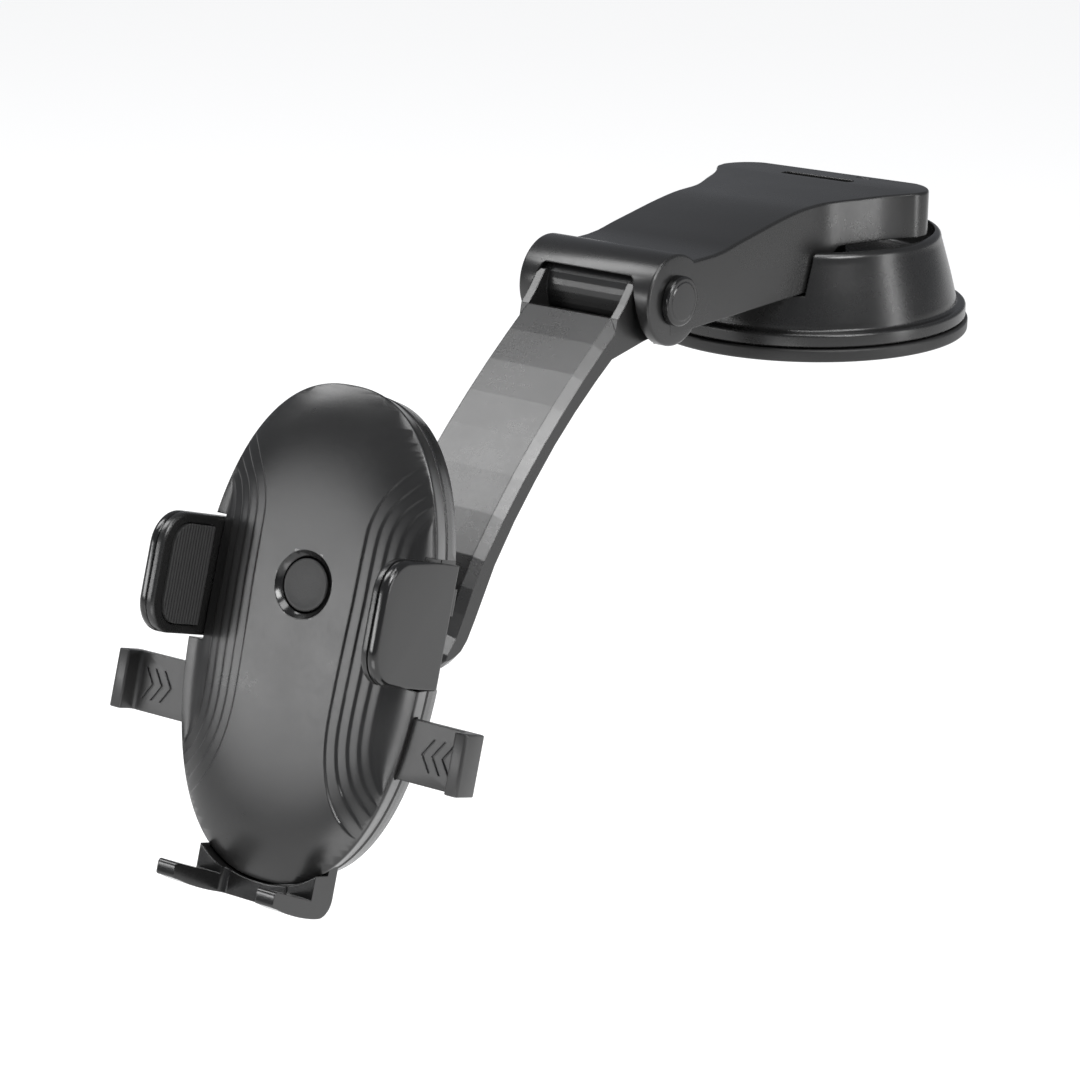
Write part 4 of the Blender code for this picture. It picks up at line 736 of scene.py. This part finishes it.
NOTCH_X, BUTTON_AT = 24.7, (0, 9.6, 0)
jaw_notch = [((side * NOTCH_X, -6.1, -16), (side * 42, 19.8, 9)) for side in (-1, 1)]
tab_slot = [((side * 15, -24.0, -3.8), (side * 42, -11.2, -1.0)) for side in (-1, 1)]
foot_slot = ((-14.8, -62, -5.5), (14.8, -25, -1.9))
cavity = swept([oval(2.9, -9), oval(2.9, -5), oval(3.4, -2.3), oval(9.5, 0.2), oval(19.5, 1.5)])
well = [(0, -9), (3.4, -9), (3.4, -2.3), (5.7, -2.3), (5.7, 2.75)]
well += [(6.85, 3.72), (6.95, 3.95), (6.95, 7), (0, 7)]
boss = add(spun([(0, -3.5), (7.3, -3.5), (7.3, 2.4), (0, 2.4)], 64, BUTTON_AT))
front = carved(
    face_shape, cut(cavity), boss, *[box_cut(*pair) for pair in jaw_notch + tab_slot + [foot_slot]],
    cut(spun(well, 128, BUTTON_AT)),
)
cover = piece(
    "cradle_face", front, "cradle", face_satin, "front_cover", place=cradle, angle=38
)
cover.data.materials.append(gloss_black)
to_flat = cradle.inverted()
for polygon in cover.data.polygons:
    centre = to_flat @ polygon.center / MM
    reach = Vector((centre.x, centre.y - BUTTON_AT[1])).length
    if 5.6 < reach < 6.95 and 2.6 < centre.z < 3.9:
        polygon.material_index = 1

# %% [markdown]
# The rear cover is a bowl with a rounded back edge. Its middle carries the socket for the ball, and
# four screws from behind hold the two covers together. Its outline follows the front cover's, so
# the seam between them is an even dark line.

# %% Rear cover
# Each row: inset, height and taper
bowl = [oval(inset, z, taper=taper) for inset, z, taper in (
    (1.9, -12.2, 2.6), (0.9, -12.1, 2.6), (0.3, -11.7, 2.55), (0, -11.0, 2.4),
    (-0.02, -8.5, 1.9), (0, -6.6, 1.45), (0.3, -6.1, 1.4), (0.6, -6.0, 1.4),
)]
hollow = [oval(2.6, -10.3, taper=2.3), oval(2.0, -9.6, taper=2.1), oval(2.0, -3, taper=1.3)]
SOCKET_R = 9.0
socket = [(0, -26), (SOCKET_R, -26), (SOCKET_R, -22)]
socket += [(SOCKET_R * cos(radians(a)), -22 + SOCKET_R * sin(radians(a))) for a in range(8, 81, 8)]
socket += [(0, -13.0)]
posts = [(-11, 37), (11, 37), (-17.5, -31), (17.5, -31)]
post_solids = [add(spun([(0, -11.2), (2.4, -11.2), (2.4, -6.4), (0, -6.4)], 24, (x, y, 0))) for x, y in posts]
post_wells = [screw_well((x, y, -12.1), (0, 0, 1), 8.0) for x, y in posts]
BARS = (("right", 1, 9.1), ("left", -1, -4.7))
bar_slots = [((side * 15, low - 0.3, -9.7), (side * 42, low + 5.9, 3.8)) for _, side, low in BARS]
neck = [(0, -20.8), (10.6, -20.8), (11.0, -20.4), (11.0, -12.4), (11.8, -11.2), (0, -11.2)]
pivot = add(spun([(0, -11.2), (1.2, -11.2), (1.2, -6.2), (0, -6.2)], 24, (0, 5, 0)))
rear = carved(
    swept(bowl), cut(swept(hollow)), add(spun(neck, 96)), cut(spun(socket, 72)),
    *[box_cut(*pair) for pair in jaw_notch + bar_slots], *post_solids, *post_wells, pivot,
)
piece("cradle_back", rear, "cradle", satin_black, "rear_cover", place=cradle)
print("cradle covers done")

# %% [markdown]
# ## Jaws
# Each jaw is a clamshell: a glossy outer shell, a liner and, on the inside, a soft pad with fine
# upright ribs that grip a phone's edge. The outer shell is an outline with two generous front
# corners, pushed to its thickness, and its outer rim is rolled over. The pad is a comb of ribs,
# trimmed to its outline with a Boolean intersection.


# %% Jaw parts
def jaw_outline(rear, inset, corner=7.0, count=14):
    low, high, reach = -5.5 + inset, 19.2 - inset, 17.5 - inset
    r = corner - inset
    points = [(low, rear), (high, rear)] + arc((high - r, reach - r), r, 0, 90, count)
    return points + arc((low + r, reach - r), r, 90, 180, count)


def rolled(bm, x, width, segments):
    """Rounds the outline's edges that lie in the plane at x."""
    rim = [e for e in bm.edges if all(abs(v.co.x - x) < 1e-3 and v.co.z > -5.5 for v in e.verts)]
    bmesh.ops.bevel(bm, geom=rim, offset=width, segments=segments, profile=0.5, affect="EDGES", material=-1)
    return bm


def mirrored(bm, side):
    if side < 0:
        bmesh.ops.scale(bm, verts=bm.verts, vec=(-1, 1, 1))
        bmesh.ops.reverse_faces(bm, faces=bm.faces)
    return bm


def ribbed_pad():
    """A comb of upright ribs, trimmed to the pad's outline."""
    low, high, count = 2.2, 14.5, 14
    pitch = (high - low) / count
    comb = [(26.0, low), (26.0, high)]
    for i in range(count * 6, -1, -1):
        comb.append((25.06 - 0.30 * abs(sin(pi * i / 6)) ** 0.7, low + pitch * i / 6))
    ribs = bmesh.new()
    face = ribs.faces.new([ribs.verts.new((x, -4, z)) for x, z in comb])
    moved = bmesh.ops.extrude_face_region(ribs, geom=[face])["geom"]
    bmesh.ops.translate(ribs, verts=[p for p in moved if isinstance(p, bmesh.types.BMVert)], vec=(0, 22.6, 0))
    bmesh.ops.recalc_face_normals(ribs, faces=ribs.faces)
    outline = filleted([(-3.3, 2.25), (17.0, 2.25), (17.0, 14.45), (-3.3, 14.45)], [0.8, 0.8, 4.6, 4.6], 10)
    return carved(ribs, ("INTERSECT", slab(outline, "X", 24, 26.0)))


for name, side, low in BARS:
    body = f"jaw_{name}"
    shell = rolled(slab(jaw_outline(-5.6, 0), "X", 27.2, 29.2), 29.2, 1.1, 5)
    shell = rolled(shell, 27.2, 0.35, 2)
    toe = add(block((17.5, low + 0.1, -6.9), (28.9, low + 5.5, -5.2)))
    seat = screw_well((20.5, low + 2.8, -9.3), (0, 0, 1), 4.6)
    shell = mirrored(carved(shell, toe, seat), side)
    node = f"jaw_{name}_shell"
    piece(f"jaw_{name}_outer", shell, body, gloss_black, node, place=cradle)
    liner = rolled(slab(jaw_outline(-4.4, 0.05), "X", 25.4, 26.95), 25.4, 0.8, 4)
    rebate = filleted([(-3.5, 2.0), (17.2, 2.0), (17.2, 14.7), (-3.5, 14.7)], [0.8, 0.8, 4.7, 4.7], 10)
    bar_way = box_cut((20, low - 0.2, -8), (40, low + 5.8, -4.8))
    liner = carved(liner, cut(slab(rebate, "X", 24, 26.2)), bar_way)
    liner, node = mirrored(liner, side), f"jaw_{name}_liner"
    piece(f"jaw_{name}_inner", liner, body, satin_black, node, place=cradle)
    ribs, node = mirrored(ribbed_pad(), side), f"jaw_{name}_pad"
    piece(f"jaw_{name}_ribs", ribs, body, pad_black, node, place=cradle)

# %% [markdown]
# ## Squeeze tabs
# Squeezing the two tabs opens the jaws. Each tab is a flat plate with a raised lip at its end and
# three fine chevrons that point the way to push. It is one moulding with the slider: a toothed bar
# and a riser, both hidden in the cradle. The right-hand jaw's slider carries the left-hand tab.


# %% Tab sliders
def chevron(apex):
    mid, arm, run, stroke = -17.75, 3.3, 2.3, 0.42
    points = [(apex, mid), (apex + run, mid + arm), (apex + run + stroke, mid + arm)]
    points += [(apex + stroke * 1.3, mid)]
    return points + [(apex + run + stroke, mid - arm), (apex + run, mid - arm)]


def slider(low, side):
    plate = [(19.5, -3.5), (43.0, -3.5)] + arc((42.9, -3.0), 0.5, -80, 0, 4) + arc((42.7, 2.2), 0.7, 0, 90, 6)
    plate += arc((40.9, 2.4), 0.5, 90, 180, 5) + arc((39.4, -0.3), 1.0, 0, -90, 6)[0:6] + [(19.5, -1.3)]
    tab = slab(plate, "Y", -23.7, -11.5)
    flat = [e for e in tab.edges if abs(e.verts[0].co.y - e.verts[1].co.y) < 1e-4]
    ends = [e for e in flat if min(v.co.x for v in e.verts) > 22]
    bmesh.ops.bevel(tab, geom=ends, offset=0.28, segments=2, profile=0.5, affect="EDGES", material=-1)
    grooves = [cut(slab(chevron(apex), "Z", -1.62, 0)) for apex in (31.2, 33.6, 36.0)]
    bar = add(block((-24.9, low, -9.4), (22.6, low + 5.6, -7.2)))
    strip = add(block((19.0, -23.7, -4.9), (22.6, low + 5.6, -1.9)))
    riser = add(block((19.0, low, -8.9), (22.6, low + 5.6, -2.5)))
    inward = -1 if low > 5 else 1
    edge = low if inward < 0 else low + 5.6
    pitch = 2 * pi * 3.2 / 10
    teeth = []
    for i in range(-1, 7):
        half, tip, x = pitch * 0.31, pitch * 0.16, i * pitch
        rack = [(x - half, edge - inward * 0.4), (x - tip, edge + inward * 1.45)]
        rack += [(x + tip, edge + inward * 1.45), (x + half, edge - inward * 0.4)]
        teeth.append(add(slab(rack, "Z", -9.1, -7.5)))
    seat = screw_well((-20.5, low + 2.8, -9.3), (0, 0, 1), 4.6)
    return mirrored(carved(tab, *grooves, strip, riser, bar, *teeth, seat), -side)


tab_satin = moulded("tab_satin", 0.016, 0.36, 0.05, 1.8)
for name, side, low in BARS:
    made, node = slider(low, side), f"slider_{name}"
    piece(f"tab_slider_{name}", made, f"jaw_{name}", tab_satin, node, place=cradle)

# %% [markdown]
# ## The foot
# The foot slides out of the cradle's lower end and turns forward into a shelf for the phone. Its
# underside is rounded, and a notch lets a charging plug through. The side view gives its
# L shape with a broad outer bend. Two horns fill the room under the cover's round end, and the notch
# widens towards the front so that a plug finds its way in.

# %% Foot
hook = [(-26.0, -5.2), (-26.0, -2.2)] + arc((-50.5, -1.3), 0.9, 270, 180, 8)
hook += [(-48.75, 13.2)] + arc((-49.4, 13.9), 0.8, 0, 90, 7) + arc((-51.1, 14.0), 0.7, 90, 165, 6)
hook += flowing([(-52.0, 13.2), (-53.1, 9.5), (-54.0, 5.0), (-54.5, 1.0), (-54.6, -1.3)], 4)
hook += arc((-50.8, -1.4), 3.8, 182, 270, 14)
horns = carved(block((-14.5, -53.0, -3.0), (14.5, -44.5, 2.0)), cut(swept([oval(-0.45, -8), oval(-0.45, 8)])))
plug_way = filleted(
    [(-10.4, 20), (-10.2, 14.7), (-8.2, 0.8), (8.2, 0.8), (10.2, 14.7), (10.4, 20)], [0, 0, 1.6, 1.6, 0, 0], 8
)
foot = carved(slab(hook, "X", -14.5, 14.5), add(horns), cut(slab(plug_way, "Y", -60, -40)))
piece("foot_shelf", foot, "foot", gloss_black, "foot", place=cradle)

# %% [markdown]
# The round trigger button sits in its well with a dark gap all round. Its face is slightly dished,
# so the light slides across it as one soft gradient, and it has a coarser grain for a fingertip.

# %% Trigger button
disc = [(0, -5.0), (3.1, -5.0), (3.1, 0.5), (5.35, 0.5), (5.35, 2.7)] + arc((4.95, 2.7), 0.4, 0, 90, 6)
disc += [(4.6, 3.04), (3.0, 2.93), (0, 2.88)]
disc = spun(disc, 96, BUTTON_AT)
piece("trigger_disc", disc, "button", dark_matt, "trigger_button", place=cradle)

# %% [markdown]
# ## Pieces that stay as they are
# Springs, screws, pins, washers, the crank, the pinion and the closing plates are shown by the
# frame's own solids. They only need finishes: plated steel for the metal, the arm's own black for the
# lower arm and its cover, and a duller, coarser black for the mouldings that nobody sees.

# %% Finishes for the frame's own parts
hidden_black = moulded("hidden_black", 0.012, 0.50, 0.14, 1.5)
metal_words = ("screw", "spring", "pin", "washer", "clip", "stem")
replaced = {node for obj in made_pieces.values() for node in obj.get("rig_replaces", [])}
for name, obj in frame["nodes"].items():
    if name in replaced:
        continue
    is_metal = any(word in name for word in metal_words) and name != "pinion"
    finish = steel if is_metal else arm_black if name.startswith("lower_arm") else hidden_black
    for index in range(max(1, len(obj.data.materials))):
        if obj.data.materials:
            obj.data.materials[index] = finish
        else:
            obj.data.materials.append(finish)
print(len(replaced), "frame parts are stood for,", len(frame["nodes"]) - len(replaced), "stay")

# %% [markdown]
# ## Floor, light and camera
# Black plastic shows mostly what it reflects, so the lights are soft panels set where each face
# looks back at them: a low wide one for the cradle's face, others for the chamfers, the arm and the
# curved ends of the terraces, and a thin strip for the flanks. The floor is pale and glows a
# little, so it stays even and shadowless.

# %% Floor
floor_mesh = bmesh.new()
bmesh.ops.create_grid(floor_mesh, x_segments=8, y_segments=8, size=12.0)
bmesh.ops.translate(floor_mesh, verts=floor_mesh.verts, vec=(0, 0, -0.16))
mesh = bpy.data.meshes.new("floor")
floor_mesh.to_mesh(mesh)
floor_mesh.free()
floor = bpy.data.objects.new("floor", mesh)
bpy.context.scene.collection.objects.link(floor)
paint = Paint("pale_floor")
tone = paint.noise(0.6, 2.0, 0.5)
colour = paint.blend(tone, grey(0.36), grey(0.40))
paint.set(Base_Color=colour, Roughness=0.9, Emission_Color=paint.blend(tone, grey(0.96), grey(1.0)))
paint.set(Emission_Strength=0.82)
mesh.materials.append(paint.material)

# %% Light
scene = bpy.context.scene
world = bpy.data.worlds.new("soft_room")
scene.world = world
world.use_nodes = True
world.node_tree.nodes["Background"].inputs[0].default_value = (0.9, 0.93, 1.0, 1.0)
world.node_tree.nodes["Background"].inputs[1].default_value = 0.25


def panel(name, target, direction, distance, width, height, power, spread=180):
    """A soft panel that shines from a direction towards a target in mm."""
    data = bpy.data.lights.new(name, "AREA")
    data.shape, data.size, data.size_y = "RECTANGLE", width, height
    data.energy = power
    data.spread = radians(spread)
    light = bpy.data.objects.new(name, data)
    away = Vector(direction).normalized()
    light.location = Vector(target) * MM + away * distance
    light.rotation_euler = away.to_track_quat("Z", "Y").to_euler()
    light.visible_camera = False
    scene.collection.objects.link(light)
    print(f"{name}: radiance {power / (pi * width * height):.1f}")
    return light


CRADLE = (3, -190, -30)
panel("front_panel", CRADLE, (-0.43, -0.87, 0.20), 0.9, 0.62, 0.13, 2.6)
panel("chamfer_panel", (8, -115, -5), (0.73, -0.16, 0.67), 0.9, 0.34, 0.34, 6.0)
panel("top_panel", (0, -100, 0), (-0.55, -0.25, 0.80), 1.1, 0.42, 0.62, 7.0)
panel("overhead", CRADLE, (0.24, 0.0, 0.97), 1.0, 0.5, 0.35, 4.0)
panel("right_strip", (20, 0, 15), (0.95, 0.25, 0.12), 0.9, 0.12, 0.7, 2.6)
panel("low_panel", CRADLE, (0.26, -0.56, -0.5), 0.22, 0.20, 0.20, 0.35)

# %% Camera
camera_data = bpy.data.cameras.new("camera")
camera = bpy.data.objects.new("camera", camera_data)
scene.collection.objects.link(camera)
camera_data.sensor_width = 36.0
camera_data.lens = 93.85
camera_data.clip_start, camera_data.clip_end = 0.01, 50.0
camera_data.dof.use_dof = False
right, up = Vector((0.7793, 0.6266, 0)), Vector((-0.1948, 0.2422, 0.9505))
forward = Vector((-0.5956, 0.7407, -0.3108))
turn = Matrix((right, up, -forward)).transposed().to_4x4()
turn.translation = (0.3681, -0.5608, 0.16275)
camera.matrix_world = turn
scene.camera = camera
scene.view_settings.view_transform = "Standard"

# %% Update the scene
bpy.context.view_layer.update()
